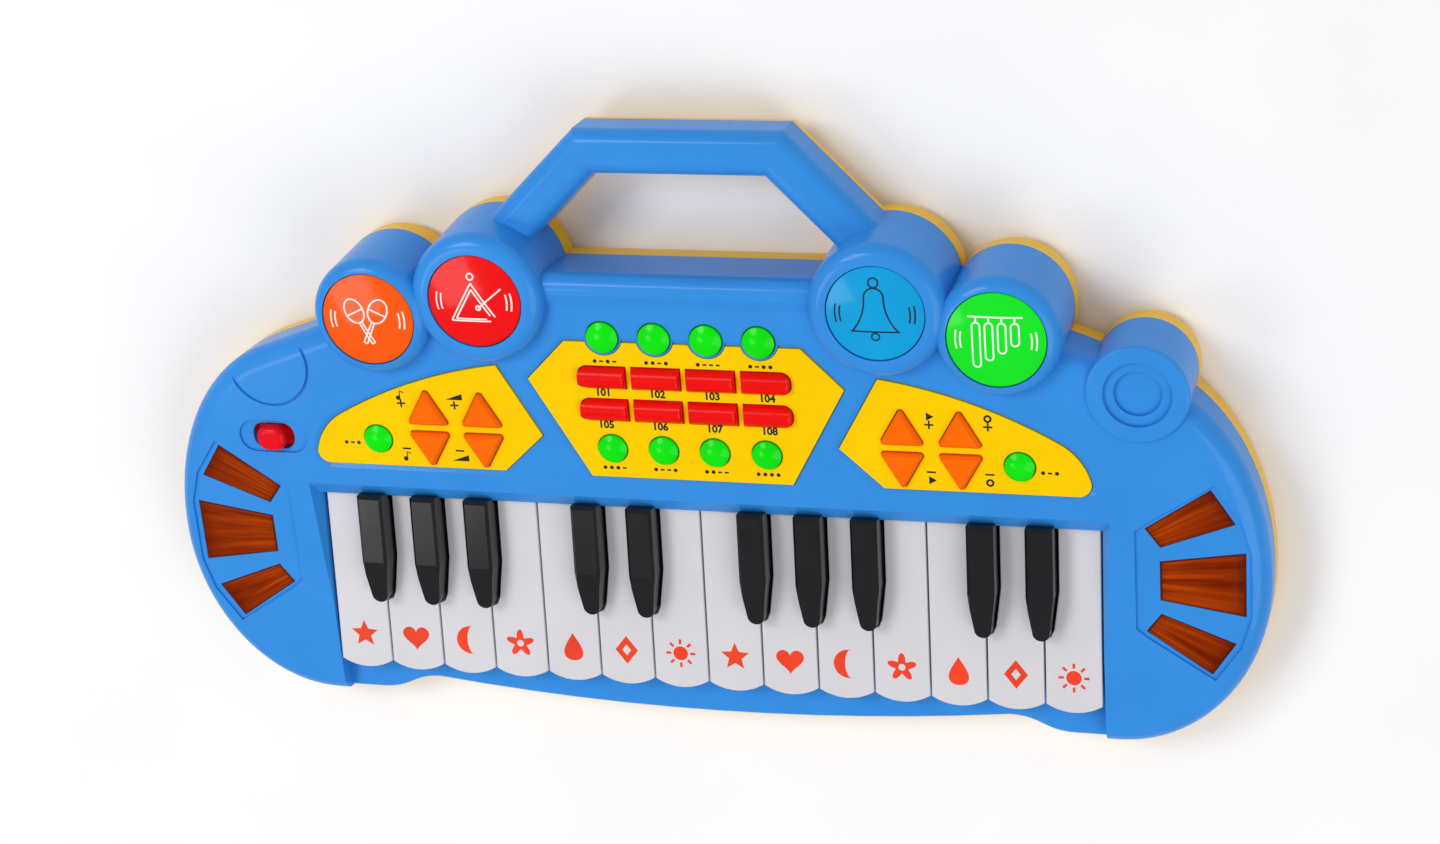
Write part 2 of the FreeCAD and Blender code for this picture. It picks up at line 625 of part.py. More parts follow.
def black_key(number, after):
    """A black key with a sloping nose, a back that follows the bevel, and an arm to the key rail."""
    body = new_body(f"black_key_{number:02d}")
    half = size.black_width / 2
    nose = size.black_nose_radius
    back = size.key_visible - size.black_back_gap
    sketch = new_sketch(body, offset=-size.white_depth)
    end = back + size.black_overhang
    side = [(nose, size.black_nose_y + nose), (half, size.black_taper_y), (half, end)]
    corners = [(-nose, size.black_nose_y + nose)] + side
    corners += [(-x, y) for x, y in reversed(side[1:])]
    draw_outline(sketch, corners, {0: nose * 1.02})
    block = feature(body, "Pad", sketch, size.white_depth + size.black_rise)
    names = edges_where(block, level_edge(size.black_rise))
    block = bevel_edges(body, block, names, size.black_bevel)

    slope = new_sketch(body, "YZ_Plane")
    before = size.black_nose_y - nose
    low = size.black_rise - size.black_nose_drop
    top = size.black_rise + size.black_bevel
    draw_outline(slope, [(before, low), (size.black_taper_y, size.black_rise),
                         (size.black_taper_y, top), (before, top)])
    feature(body, "Pocket", slope, size.black_width * 2, symmetric=True)

    under = new_sketch(body, "YZ_Plane")
    far = end + size.black_overhang
    start = size.opening_bevel_start
    high = start + (far - back) * (size.opening_bevel_height / size.opening_bevel_back)
    low = -size.white_depth * 2
    draw_outline(under, [(back, low), (far, low), (far, high), (back, start)])
    feature(body, "Pocket", under, size.black_width * 2, symmetric=True)

    arm = new_sketch(body, offset=-size.white_depth)
    half_arm = size.black_arm / 2
    draw_rectangle(arm, -half_arm, half_arm, back - size.key_tail, size.hinge_y + size.key_tail)
    feature(body, "Pad", arm, size.white_depth - size.black_arm_drop)

    hollow = new_sketch(body, offset=-size.white_depth)
    inner = half - size.skirt_wall
    behind_plunger = size.black_plunger_y + size.plunger_length / 2
    draw_rectangle(hollow, -inner, inner, behind_plunger, back - size.key_tail)
    depth = size.white_depth + size.black_rise - size.white_plate
    feature(body, "Pocket", hollow, depth, reverse=True)
    bore_hook(body, size.key_pitch)
    place(body, size.key_pitch * (after - WHITE_KEYS / 2), size.key_line_y, size.key_top_z)


# Buttons, pads and switch


def flange_top():
    """Top of a cap's flange under the deck."""
    return -(size.deck_wall + size.cap_seat)


def flange_bottom():
    return flange_top() - size.cap_flange_thick


def dome_button(label, u, v, radius):
    """A round button with a domed top and a flange under the deck."""
    body = new_body(label)
    sketch = new_sketch(body, "XZ_Plane")
    wide = radius + size.cap_flange
    arch = (radius * radius + size.green_crown * size.green_crown) / (size.green_crown * 2)
    draw_outline(sketch, [
        (0.0, flange_bottom()), (wide, flange_bottom()), (wide, flange_top()),
        (radius, flange_top()), (radius, size.green_edge),
        (0.0, size.green_edge + size.green_crown),
    ], {4: arch})
    revolve(body, sketch)
    place_on_deck(body, u, v)


def bar_middles():
    """Middles of the red bars along their row."""
    return [size.red_pitch * (index - (RED_BARS - 1) / 2) for index in range(RED_BARS)]


def end_cut(end, side):
    """Two facets that round off one end of a red bar, seen from the front."""
    top = size.red_edge + size.red_crown
    step = size.red_end
    facets = [(step * -1.7, step * 0.3), (step * -0.3, step * -0.3),
              (step * 0.3, step * -1.7), (step * 0.3, step * 0.3)]
    corners = [(end + across * side, top + up) for across, up in facets]
    return corners if side > 0 else corners[::-1]


def bar_row(label, v):
    """Four round-topped bars on one flange strip."""
    body = new_body(label)
    strip = new_sketch(body, offset=flange_bottom())
    reach = bar_middles()[-1] + size.red_length / 2 + size.cap_flange
    half = size.red_width / 2
    wide = half + size.cap_flange
    draw_rectangle(strip, -reach, reach, -wide, wide)
    feature(body, "Pad", strip, size.cap_flange_thick)
    arch = (half * half + size.red_crown * size.red_crown) / (size.red_crown * 2)
    for middle in bar_middles():
        profile = new_sketch(body, "YZ_Plane", middle)
        draw_outline(profile, [(-half, flange_top()), (half, flange_top()), (half, size.red_edge),
                               (-half, size.red_edge)], {2: arch})
        feature(body, "Pad", profile, size.red_length, symmetric=True)
    ends = new_sketch(body, "XZ_Plane")
    for middle in bar_middles():
        for side in (-1, 1):
            draw_outline(ends, end_cut(middle + size.red_length * (side / 2), side))
    feature(body, "Pocket", ends, size.red_width * 2, symmetric=True)
    corners = new_sketch(body, offset=flange_top())
    draw_rectangle(corners, -reach, reach, -wide, wide)
    draw_rounded(corners, reach - size.cap_flange, half, size.red_round)
    feature(body, "Pocket", corners, (size.red_edge + size.red_crown - flange_top()) * 2, reverse=True)
    place_on_deck(body, 0.0, v)


def triangle_corners(grow):
    """Triangle that points up the slope, grown outwards by a margin."""
    half = size.triangle_width / 2 + grow * 1.5
    low = -(size.triangle_height / 2) - grow
    high = size.triangle_height / 2 + grow * 2
    return [(-half, low), (half, low), (0.0, high)]


def triangle_button(label, u, v, turned):
    """A triangular button with rounded corners, a bevelled top and a rounded flange."""
    def cap_corner(edge):
        return upright_edge(edge) and edge.CenterOfMass.z > float(flange_top())
    body = new_body(label)
    base = new_sketch(body, offset=flange_bottom())
    draw_outline(base, triangle_corners(size.cap_flange))
    flange = feature(body, "Pad", base, size.cap_flange_thick)
    round_edges(body, flange, edges_where(flange, upright_edge), size.triangle_corner + size.cap_flange)
    profile = new_sketch(body, offset=flange_top())
    draw_outline(profile, triangle_corners(as_size(0.0)))
    cap = feature(body, "Pad", profile, size.triangle_rise - flange_top())
    corners = round_edges(body, cap, edges_where(cap, cap_corner), size.triangle_corner)
    top = edges_where(corners, level_edge(size.triangle_rise))
    bevel_edges(body, corners, top, size.triangle_bevel)
    place_on_deck(body, u, v, turned)


def drum_pad(label, u, v):
    """A shallow domed drum pad with a flange inside the top of its pod."""
    body = new_body(label)
    sketch = new_sketch(body, "XZ_Plane")
    radius = size.pad_radius
    wide = radius + size.pad_flange
    top = size.pod_rise + size.pad_edge
    high = size.pod_rise - size.wall - size.cap_seat
    low = high - size.cap_flange_thick
    arch = (radius * radius + size.pad_crown * size.pad_crown) / (size.pad_crown * 2)
    draw_outline(sketch, [(0.0, low), (wide, low), (wide, high), (radius, high), (radius, top),
                          (0.0, top + size.pad_crown)], {4: arch})
    revolve(body, sketch)
    place_on_deck(body, u, v)


def plan_v(distance):
    """Distance up the slope of a place on the deck that lies so far behind the key line."""
    return (distance - size.deck_ref_y) / cosine(size.deck_tilt)


def switch_knob():
    """The red slide knob with its slider plate under the deck."""
    body = new_body("power_switch_knob")
    half_length, half_width = size.knob_length / 2, size.knob_width / 2
    plate = new_sketch(body, offset=flange_bottom())
    long, wide = half_length + size.knob_flange, half_width + size.cap_flange
    draw_rectangle(plate, -long, long, -wide, wide)
    feature(body, "Pad", plate, size.cap_flange_thick)
    profile = new_sketch(body, offset=flange_top())
    draw_rectangle(profile, -half_length, half_length, -half_width, half_width)
    knob = feature(body, "Pad", profile, size.knob_rise - flange_top())

    def knob_corner(edge):
        return upright_edge(edge) and edge.BoundBox.ZMax > 0.0
    knob = round_edges(body, knob, edges_where(knob, knob_corner), size.knob_corner)
    top = edges_where(knob, level_edge(size.knob_rise))
    round_edges(body, knob, top, size.knob_top_radius)
    place_on_deck(body, size.switch_u, size.switch_v)


# Outlines of the case


def line(start, end):
    return Part.LineSegment(start, end).toShape()


def bezier(*poles):
    curve = Part.BezierCurve()
    curve.setPoles(list(poles))
    return curve.toShape()


def ellipse_arc(centre, along, across, first, last):
    """Part of an ellipse between two angles in degrees, as one smooth curve."""
    first, last = math.radians(first), math.radians(last)
    handle = 4 / 3 * math.tan((last - first) / 4)

    def point(angle):
        return centre + vector(along * math.cos(angle), across * math.sin(angle))

    def tangent(angle):
        return vector(-along * math.sin(angle), across * math.cos(angle)) * handle
    start, end = point(first), point(last)
    return bezier(start, start + tangent(first), end - tangent(last), end)


def mirrored(edge):
    return edge.mirror(vector(0, 0), vector(1, 0))


def face_of(edges):
    return Part.Face(Part.Wire(Part.__sortEdges__(edges)))


def case_face(inset):
    """Plan of the case without its pods, drawn in all round by an inset."""
    key_line = float(size.key_line_y)
    front = key_line - float(size.lip_reach) + inset
    lip_half = float(size.lip_half)
    lip_end = vector(lip_half, front + float(size.lip_bow))
    bow = Part.Arc(mirror_point(lip_end), vector(0, front), lip_end).toShape()
    foot_y = key_line - float(size.foot_reach) + inset
    foot = vector(size.foot_inner, foot_y)
    reach = (foot.x - lip_half) / 2
    swing = bezier(lip_end, lip_end + vector(reach, 0), foot - vector(reach, 0), foot)
    centre = vector(size.end_centre_x, behind(size.end_centre_y))
    along = float(size.half_length) - centre.x - inset
    across = float(size.end_back) - inset
    corner = vector(size.inner_pod_x, float(behind(size.back_wall_y)) - inset)
    toe = line(foot, vector(centre.x, foot_y))
    front_end = ellipse_arc(centre, along, centre.y - foot_y, -90.0, 0.0)
    stop = tangent_angle(corner - centre, along, across)
    back_end = ellipse_arc(centre, along, across, 0.0, stop)
    last = back_end.valueAt(back_end.LastParameter)
    right = [swing, toe, front_end, back_end, line(last, corner)]
    back = line(corner, mirror_point(corner))
    return face_of([bow, back] + right + [mirrored(edge) for edge in right])


def tangent_angle(point, along, across):
    """Angle in degrees where a line from a point touches an ellipse around the origin."""
    shares = vector(point.x / along, point.y / across)
    return math.degrees(math.atan2(shares.y, shares.x) - math.acos(1 / shares.Length))


def mirror_point(point):
    return vector(-point.x, point.y, point.z)


def handle_face(inset):
    """Plan of the handle: a grip and two slanting arms that end inside the inner pods."""
    back = float(behind(size.handle_reach)) - inset
    front = float(behind(size.handle_reach - size.handle_bar)) + inset
    arm_x = float(size.inner_pod_x - size.handle_root_x - size.handle_half)
    arm_y = float(size.handle_reach - size.handle_bar - size.inner_pod_y - size.handle_root_y)
    mitre = math.tan(math.atan2(arm_y, arm_x) / 2)
    half = float(size.handle_half) + inset * mitre
    outer_half = half + (back - front) * mitre
    right = [vector(half, front), vector(half + arm_x, front - arm_y),
             vector(outer_half + arm_x, back - arm_y), vector(outer_half, back)]
    corners = right + [mirror_point(point) for point in reversed(right)]
    return Part.Face(Part.makePolygon(corners + corners[:1]))


def rise(face, low, high):
    """Solid that stands on a plan between two heights."""
    solid = face.extrude(vector(0, 0, high - low))
    solid.translate(vector(0, 0, low))
    return solid


def on_deck(shape):
    """Move a shape drawn in u, v and w to its place on the deck."""
    tilt = FreeCAD.Rotation(vector(1, 0), float(size.deck_tilt))
    moved = shape.copy()
    moved.Placement = FreeCAD.Placement(vector(*deck_point(0.0, 0.0)), tilt).multiply(moved.Placement)
    return moved


def above_deck(height):
    """Everything higher than a height over the deck."""
    return on_deck(Part.makeBox(2 * FAR, 2 * FAR, FAR, vector(-FAR, -FAR, height)))


def box_between(low, high):
    """Box between two opposite corners."""
    span = high - low
    return Part.makeBox(span.x, span.y, span.z, low)


def fillet_where(solid, radius, test):
    return solid.makeFillet(radius, [edge for edge in solid.Edges if test(edge)])


def on_top_of(height):
    """Test for edges in the plane at a height over the deck."""
    normal = on_deck(Part.makeLine(vector(0, 0), vector(0, 0, 1)))
    foot, tip = (vertex.Point for vertex in normal.Vertexes)

    def in_plane(edge):
        return all(abs((point - foot).dot(tip - foot) - height) < 1e-3
                   for point in edge.discretize(5))
    return in_plane


def deck_rim(edge):
    """Test for the outer edges of the deck, without those around the keys."""
    middle = edge.CenterOfMass
    beside = abs(middle.x) < opening_half() + NEAR
    around_keys = beside and middle.y < float(behind(size.key_visible)) + NEAR
    return on_top_of(0.0)(edge) and not around_keys


def pods(shrink):
    """Place on the deck and radius of each pod."""
    return [(sign * float(x), float(plan_v(y)), float(radius) - shrink)
            for x, y, radius in (
                (size.inner_pod_x, size.inner_pod_y, size.inner_pod_radius),
                (size.outer_pod_x, size.outer_pod_y, size.outer_pod_radius))
            for sign in (-1, 1)]


def ring_spot(shrink):
    """Place on the deck and radius of the ring on the right."""
    return float(size.ring_u), float(size.ring_v), float(size.ring_radius) - shrink


def deck_column(spot, height, rim=0.0):
    """Column square to the deck, from the seam to a height over the deck, with a rounded rim."""
    solid = round_hole(*spot, height - FAR / 8, height)
    if rim:
        solid = fillet_where(solid, rim, level_edge(height))
    over_seam = box_between(vector(-FAR, -FAR, size.seam_z), vector(FAR, FAR, FAR))
    return on_deck(solid).common(over_seam)


def tray_column(spot, low):
    """Upright column of the tray under a column of the deck."""
    u, v, radius = spot
    lean = math.radians(float(size.deck_tilt))
    _, y, z = map(float, deck_point(u, v))
    seam = float(size.seam_z)
    foot = y + (z - seam) * math.tan(lean)
    return column((u, foot, radius / math.cos(lean)), low, seam)


def column(place_and_radius, low, high):
    x, y, radius = place_and_radius
    return Part.makeCylinder(radius, high - low, vector(x, y, low))


def case_block(inset, drop):
    """Space over the seam, inside the plan of the case and under its deck."""
    return rise(case_face(inset), float(size.seam_z), FAR / 4).cut(above_deck(-drop))


def ridge():
    """Bevelled ridge along the back of the deck, between the inner pods."""
    foot = float(plan_v(size.ridge_y))
    high = float(size.ridge_rise)
    depth = -float(size.edge_radius)
    far = foot + float(size.inner_pod_radius)
    profile = [vector(0, foot, depth), vector(0, foot, 0), vector(0, foot + float(size.ridge_bevel), high),
               vector(0, far, high), vector(0, far, depth)]
    half = float(size.inner_pod_x)
    bar = Part.Face(Part.makePolygon(profile + profile[:1])).extrude(vector(2 * half, 0, 0))
    bar.translate(vector(-half, 0, 0))
    back = float(behind(size.back_wall_y))
    solid = on_deck(bar).common(box_between(vector(-FAR, -FAR, 0), vector(FAR, back, FAR)))

    def back_edge(edge):
        ends = [vertex.Point for vertex in edge.Vertexes]
        level = all(abs(point.y - back) < 1e-3 for point in ends)
        return level and on_top_of(high)(edge)
    return fillet_where(solid, float(size.ridge_radius), back_edge)


# Panel plates, windows and cut-outs, drawn on the deck


def plate_outline_middle():
    right = [vector(size.hex_bottom_u, size.hex_bottom_v), vector(size.hex_vertex_u, size.hex_vertex_v),
             vector(size.hex_top_u, size.hex_top_v)]
    corners = right + [mirror_point(point) for point in reversed(right)]
    return Part.Wire(Part.makePolygon(corners + corners[:1]).Edges)


def plate_outline_right():
    """Side plate: curved top, rounded outer end, straight bottom and a pointed inner side."""
    top = vector(size.side_top_u, size.side_top_v)
    shoulder = vector(size.side_shoulder_u, size.side_shoulder_v)
    corner = float(size.side_corner)
    nose = vector(size.side_nose_u, float(size.side_bottom_v) + corner)
    toe = vector(float(size.side_nose_u) - corner, size.side_bottom_v)
    bottom = vector(size.side_bottom_u, size.side_bottom_v)
    vertex = vector(size.side_vertex_u, size.side_vertex_v)
    chord = nose - shoulder
    bulge = vector(-chord.y, chord.x).normalize() * float(size.side_nose_bulge)
    crown = Part.Arc(top, vector(size.side_crown_u, size.side_crown_v), shoulder).toShape()
    end = Part.Arc(shoulder, (shoulder + nose) / 2 + bulge, nose).toShape()
    slack = corner * (1 - math.sqrt(0.5))
    middle = vector(nose.x - slack, toe.y + slack)
    heel = Part.Arc(nose, middle, toe).toShape()
    return Part.Wire([crown, end, heel, line(toe, bottom), line(bottom, vertex), line(vertex, top)])


def plate_outlines():
    right = plate_outline_right()
    return [plate_outline_middle(), right, mirrored(right)]


def round_hole(u, v, radius, low, high):
    return Part.makeCylinder(radius, high - low, vector(u, v, low))


def green_places():
    """All round buttons: name, u, v and radius."""
    rows = (("upper", size.green_upper_v, size.green_upper_radius),
            ("lower", size.green_lower_v, size.green_radius))
    columns = (-size.green_outer_u, -size.green_inner_u, size.green_inner_u, size.green_outer_u)
    places = [(f"green_button_{row}_{number}", u, v, radius)
              for row, v, radius in rows for number, u in enumerate(columns, 1)]
    places.append(("green_button_left", -size.green_side_u, size.green_side_v, size.green_radius))
    places.append(("green_button_right", size.green_side_u, size.green_side_v, size.green_radius))
    return places


def triangle_places():
    """All triangles: name, u, v and whether they point down the slope."""
    rows = ((size.triangle_upper_v, False), (size.triangle_lower_v, True))
    places = []
    for side, sign in (("left", -1), ("right", 1)):
        columns = sorted((size.triangle_inner_u * sign, size.triangle_outer_u * sign), key=float)
        spots = [(u, v, down) for v, down in rows for u in columns]
        places += [(f"triangle_button_{side}_{number}", *spot) for number, spot in enumerate(spots, 1)]
    return places


def cap_holes(low, high):
    """Holes for the button caps between two heights over the deck."""
    gap = float(size.cap_clearance)
    holes = [round_hole(float(u), float(v), float(radius) + gap, low, high)
             for _, u, v, radius in green_places()]
    for _, u, v, down in triangle_places():
        corners = [vector(x, y) for x, y in triangle_corners(size.cap_clearance)]
        prism = rise(Part.Face(Part.makePolygon(corners + corners[:1])), low, high)
        prism = fillet_where(prism, float(size.triangle_corner) + gap, upright_edge)
        if down:
            prism.rotate(vector(0, 0), vector(0, 0, 1), 180.0)
        prism.translate(vector(u, v))
        holes.append(prism)
    half_length, half_width = float(size.red_length) / 2 + gap, float(size.red_width) / 2 + gap
    reach = float(bar_middles()[-1]) + half_length
    for v in (float(size.red_upper_v), float(size.red_lower_v)):
        row = box_between(vector(-reach, v - half_width, low), vector(reach, v + half_width, high))
        row = fillet_where(row, float(size.red_round) + gap, upright_edge)
        holes += [row.common(box_between(vector(middle - half_length, v - 2 * half_width, low),
                                         vector(middle + half_length, v + 2 * half_width, high)))
                  for middle in map(float, bar_middles())]
    return holes


def socket_columns(grow, low, high):
    """Round sockets of the upper green buttons."""
    return [round_hole(float(u), float(v), float(size.socket_radius) + grow, low, high)
            for name, u, v, _ in green_places() if "upper" in name]


def panel_plates():
    """The three printed plates, notched around the sockets and pierced for the caps."""
    thick = float(size.plate_thick)
    tools = cap_holes(-2 * thick, thick)
    tools += socket_columns(float(size.plate_gap), -2 * thick, thick)
    return Part.makeCompound([on_deck(rise(Part.Face(outline), -thick, 0.0).cut(tools))
                              for outline in plate_outlines()])


def panel_recesses():
    """Recesses that take the plates, with a bevelled border, around the sockets."""
    thick = float(size.plate_thick)
    gap = float(size.plate_gap)
    bevel, depth = float(size.recess_bevel), float(size.recess_bevel_depth)
    tools = []
    for outline in plate_outlines():
        low = Part.Face(outline).makeOffset2D(gap, 2).Wires[0]
        high = Part.Face(outline).makeOffset2D(gap + bevel, 2).Wires[0]
        pocket = rise(Part.Face(low), -thick, thick)
        low.translate(vector(0, 0, -depth))
        flare = Part.makeLoft([low, high], True, True)
        tools += [pocket, flare]
    sockets = socket_columns(0.0, -thick, thick)
    return [tool.cut(sockets) for tool in tools]


def window_outlines():
    """Corners of the six light windows, as lists of points on the deck."""
    axis = float(size.fan_axis_v)
    middle = [(size.window_inner_u, -size.window_inner_half), (size.window_outer_u, -size.window_outer_half),
              (size.window_outer_u, size.window_outer_half), (size.window_inner_u, size.window_inner_half)]
    upper = [(size.ray_inner_low_u, size.ray_inner_low_v), (size.ray_outer_low_u, size.ray_outer_low_v),
             (size.ray_outer_high_u, size.ray_outer_high_v), (size.ray_inner_high_u, size.ray_inner_high_v)]
    lower = [(u, -v) for u, v in reversed(upper)]
    shapes = []
    for sign in (-1, 1):
        for corners in (upper, middle, lower):
            points = [vector(sign * float(u), axis + float(v)) for u, v in corners]
            shapes.append(Part.Wire(Part.makePolygon(points + points[:1]).Edges))
    return shapes


def grown(outline, distance):
    """Face of an outline moved outwards."""
    return Part.Face(Part.Face(outline).makeOffset2D(distance, 2).Wires[0])


def light_windows():
    """Amber windows with a flange against the underside of the deck."""
    top = -float(size.fan_depth)
    under = -float(size.deck_wall)
    flange = float(size.window_flange)
    pieces = []
    for outline in window_outlines():
        pane = rise(Part.Face(outline), under, top)
        ledge = rise(grown(outline, flange), under - float(size.window_flange_thick), under)
        pieces.append(on_deck(pane.fuse(ledge).removeSplitter()))
    return Part.makeCompound(pieces)


def fan_recesses():
    """Recesses around the light windows, with a straight inner step."""
    axis, margin = float(size.fan_axis_v), float(size.fan_margin)
    step, half = float(size.fan_step_u), float(size.fan_step_half)
    upper = [(step, half), (float(size.ray_inner_high_u), float(size.ray_inner_high_v) + margin),
             (float(size.ray_outer_high_u) + margin / 2, float(size.ray_outer_high_v) + margin),
             (float(size.ray_outer_low_u) + margin, float(size.ray_outer_low_v) + margin / 2),
             (float(size.window_outer_u) + margin, float(size.window_outer_half))]
    corners = upper + [(u, -v) for u, v in reversed(upper)]
    tools = []
    for sign in (-1, 1):
        points = [vector(sign * u, axis + v) for u, v in corners]
        face = Part.Face(Part.makePolygon(points + points[:1]))
        tools.append(rise(face, -float(size.fan_depth), float(size.deck_wall)))
    return tools


def oblong(length, width, low, high):
    """Round-ended slot at the switch."""
    radius = width / 2
    u, v = float(size.switch_u), float(size.switch_v)
    reach = length / 2 - radius
    middle = box_between(vector(u - reach, v - radius, low), vector(u + reach, v + radius, high))
    ends = [round_hole(u + sign * reach, v, radius, low, high) for sign in (-1, 1)]
    return middle.fuse(ends)


def deck_cuts():
    """Everything cut into the deck, in place."""
    deep = -2 * float(size.deck_wall)
    high = 2 * float(size.deck_wall)
    tools = panel_recesses() + fan_recesses() + cap_holes(deep, high)
    gap = float(size.window_gap)
    tools += [rise(grown(outline, gap), deep, high) for outline in window_outlines()]
    tools.append(oblong(float(size.switch_recess_length), float(size.switch_recess_width),
                        -float(size.switch_recess_depth), high))
    clear = float(size.knob_clearance)
    half_length = float(size.knob_length) / 2 + float(size.switch_throw) + clear
    half_width = float(size.knob_width) / 2 + clear
    u, v = float(size.switch_u), float(size.switch_v)
    slot = box_between(vector(u - half_length, v - half_width, deep),
                       vector(u + half_length, v + half_width, high))
    tools.append(fillet_where(slot, float(size.knob_corner) + clear, upright_edge))
    rim = float(size.ring_rise)
    place_of_ring = float(size.ring_u), float(size.ring_v)
    for radius, depth in ((size.ring_bore, size.ring_bore_depth), (size.ring_dish, size.ring_dish_depth)):
        tools.append(round_hole(*place_of_ring, float(radius), rim - float(depth), rim + high))
    outer = float(size.disc_radius)
    inner = outer - float(size.groove_width)
    place_of_disc = float(size.disc_u), float(size.disc_v)
    groove = round_hole(*place_of_disc, outer, -float(size.groove_depth), high)
    tools.append(groove.cut(round_hole(*place_of_disc, inner, deep, high)))
    hole = float(size.pad_radius) + float(size.pad_gap)
    tools += [round_hole(u, v, hole, 0.0, 2 * float(size.pod_rise)) for u, v, _ in pods(0.0)]
    return [on_deck(tool) for tool in tools]


# Shells


def screw_places():
    """Screws of the case: X, Y and the height of the underside there."""
    base = float(size.base_z)
    handle_y = size.handle_reach - size.handle_bar / 2
    rows = ((size.foot_screw_x, size.foot_screw_y, base), (size.side_screw_x, size.side_screw_y, base),
            (size.back_screw_x, size.back_screw_y, base),
            (size.handle_screw_x, handle_y, float(size.handle_bottom_z)))
    return [(sign * float(x), float(behind(y)), low) for x, y, low in rows for sign in (-1, 1)]


def head_seat():
    """Height at which the screw heads bear."""
    return float(size.seam_z) - float(size.screw_floor)


def opening_half():
    return float(size.key_pitch) * WHITE_KEYS / 2 + float(size.opening_side_gap)


def key_opening():
    """Space of the keys over the lip, with bevels at the back and sides."""
    half = opening_half()
    back = float(behind(size.key_visible))
    front = float(size.key_line_y) - 2 * float(size.lip_reach)
    low = float(size.key_top_z) + float(size.opening_bevel_start)
    height = float(size.opening_bevel_height)
    flare_side = float(size.opening_bevel_side)
    flare_back = float(size.opening_bevel_back)
    shaft = box_between(vector(-half, float(behind(size.lip_back)), 0), vector(half, back, FAR))

    def rectangle(scale):
        x, y, z = half + flare_side * scale, back + flare_back * scale, low + height * scale
        corners = [vector(-x, front, z), vector(x, front, z), vector(x, y, z), vector(-x, y, z)]
        return Part.makePolygon(corners + corners[:1])
    bevel = Part.makeLoft([rectangle(0.0), rectangle(2.0)], True, True)
    return [shaft, bevel]


def lip_space():
    """Space over the front lip, before the keys."""
    half = opening_half()
    lip_z = float(size.key_top_z) - float(size.lip_drop)
    return box_between(vector(-half, float(size.key_line_y) - FAR, lip_z),
                       vector(half, float(behind(size.key_visible)), FAR))


def board_top():
    """Top of the panel boards under the deck."""
    dome_top = float(flange_bottom()) - float(size.button_travel) - float(size.press_gap)
    return dome_top - float(size.dome_height) - float(size.mat_thick)


def board_posts():
    """Places of the posts that carry the panel boards."""
    inset = float(size.post_radius + size.board_margin)
    half = float(size.middle_board_half) - inset
    low = float(size.middle_board_low_v) + inset
    high = float(size.middle_board_high_v) - inset
    spots = [(sign * half, v) for sign in (-1, 1) for v in (low, high)]
    between = float((size.triangle_outer_u + size.green_side_u) / 2 + size.side_post_shift)
    outer = float(size.side_board_outer_u) - inset
    side_low = float(size.side_board_low_v) + inset
    side_high = float(size.side_board_high_v) - inset
    for sign in (-1, 1):
        spots += [(sign * between, side_high), (sign * outer, side_low)]
    spots.append((float(size.switch_u - size.switch_post_u), float(size.switch_v + size.switch_post_v)))
    return spots


def top_shell():
    """Blue shell: deck, pods, ring, ridge, handle half, front lip and screw bosses."""
    wall = float(size.wall)
    seam = float(size.seam_z)
    lip_z = float(size.key_top_z) - float(size.lip_drop)
    half = opening_half()
    key_line = float(size.key_line_y)

    def lip_edge(edge):
        flat = all(abs(point.z - lip_z) < 1e-3 for point in edge.discretize(5))
        return flat and edge.CenterOfMass.y < key_line - float(size.lip_bow) / 2

    def handle_rim(edge):
        level = all(abs(vertex.Z - float(size.handle_top_z)) < 1e-3 for vertex in edge.Vertexes)
        return level and edge.CenterOfMass.y > float(behind(size.inner_pod_y))
    block = case_block(0.0, 0.0).cut(lip_space())
    block = fillet_where(block, float(size.lip_radius), lip_edge)
    block = fillet_where(block, float(size.edge_radius), deck_rim)
    rounded = [deck_column(pod, float(size.pod_rise), float(size.pod_round)) for pod in pods(0.0)]
    rounded.append(deck_column(ring_spot(0.0), float(size.ring_rise), float(size.ring_round)))
    handle = rise(handle_face(0.0), seam, float(size.handle_top_z))
    rounded.append(fillet_where(handle, float(size.handle_radius), handle_rim))
    outer = block.fuse(rounded + [ridge()])

    hollows = [deck_column(pod, float(size.pod_rise) - wall) for pod in pods(wall)]
    hollows.append(deck_column(ring_spot(wall), float(size.ring_rise) - float(size.deck_wall)))
    hollows.append(rise(handle_face(wall), seam, float(size.handle_top_z) - wall))
    behind_bevel = float(behind(size.key_visible + size.opening_bevel_back))
    kept = [box_between(vector(-half - wall, key_line - FAR, lip_z - wall),
                        vector(half + wall, float(behind(size.lip_back)), FAR))]
    kept += [box_between(vector(x, key_line - FAR, 0), vector(x + wall, behind_bevel, FAR))
             for x in (half, -half - wall)]
    hollow = case_block(wall, float(size.deck_wall)).fuse(hollows).cut(kept)
    shell = outer.cut(hollow)

    bosses = [Part.makeCylinder(float(size.boss_radius), FAR / 4, vector(x, y, seam))
              for x, y, _ in screw_places()]
    shell = shell.fuse([boss.common(outer) for boss in bosses])
    under = -float(size.deck_wall)
    posts = [on_deck(round_hole(u, v, float(size.post_radius), board_top(), under + float(size.post_root)))
             for u, v in board_posts()]
    shell = shell.fuse(posts)
    pilots = [Part.makeCylinder(float(size.screw_radius) + float(size.screw_clearance),
                                float(size.screw_grip + size.pilot_spare), vector(x, y, seam))
              for x, y, _ in screw_places()]
    return shell.cut(key_opening() + deck_cuts() + pilots).removeSplitter()


def battery_room():
    """Half length, half width and ceiling of the battery box."""
    half_x = float(size.cell_length) / 2 + float(size.nub_length) + float(size.spring_length)
    half_y = float(size.cell_pitch) * (BATTERY_CELLS - 1) / 2 + float(size.cell_radius) + float(size.cell_gap)
    return half_x, half_y, cell_axis() + float(size.cell_radius) + float(size.cell_gap)


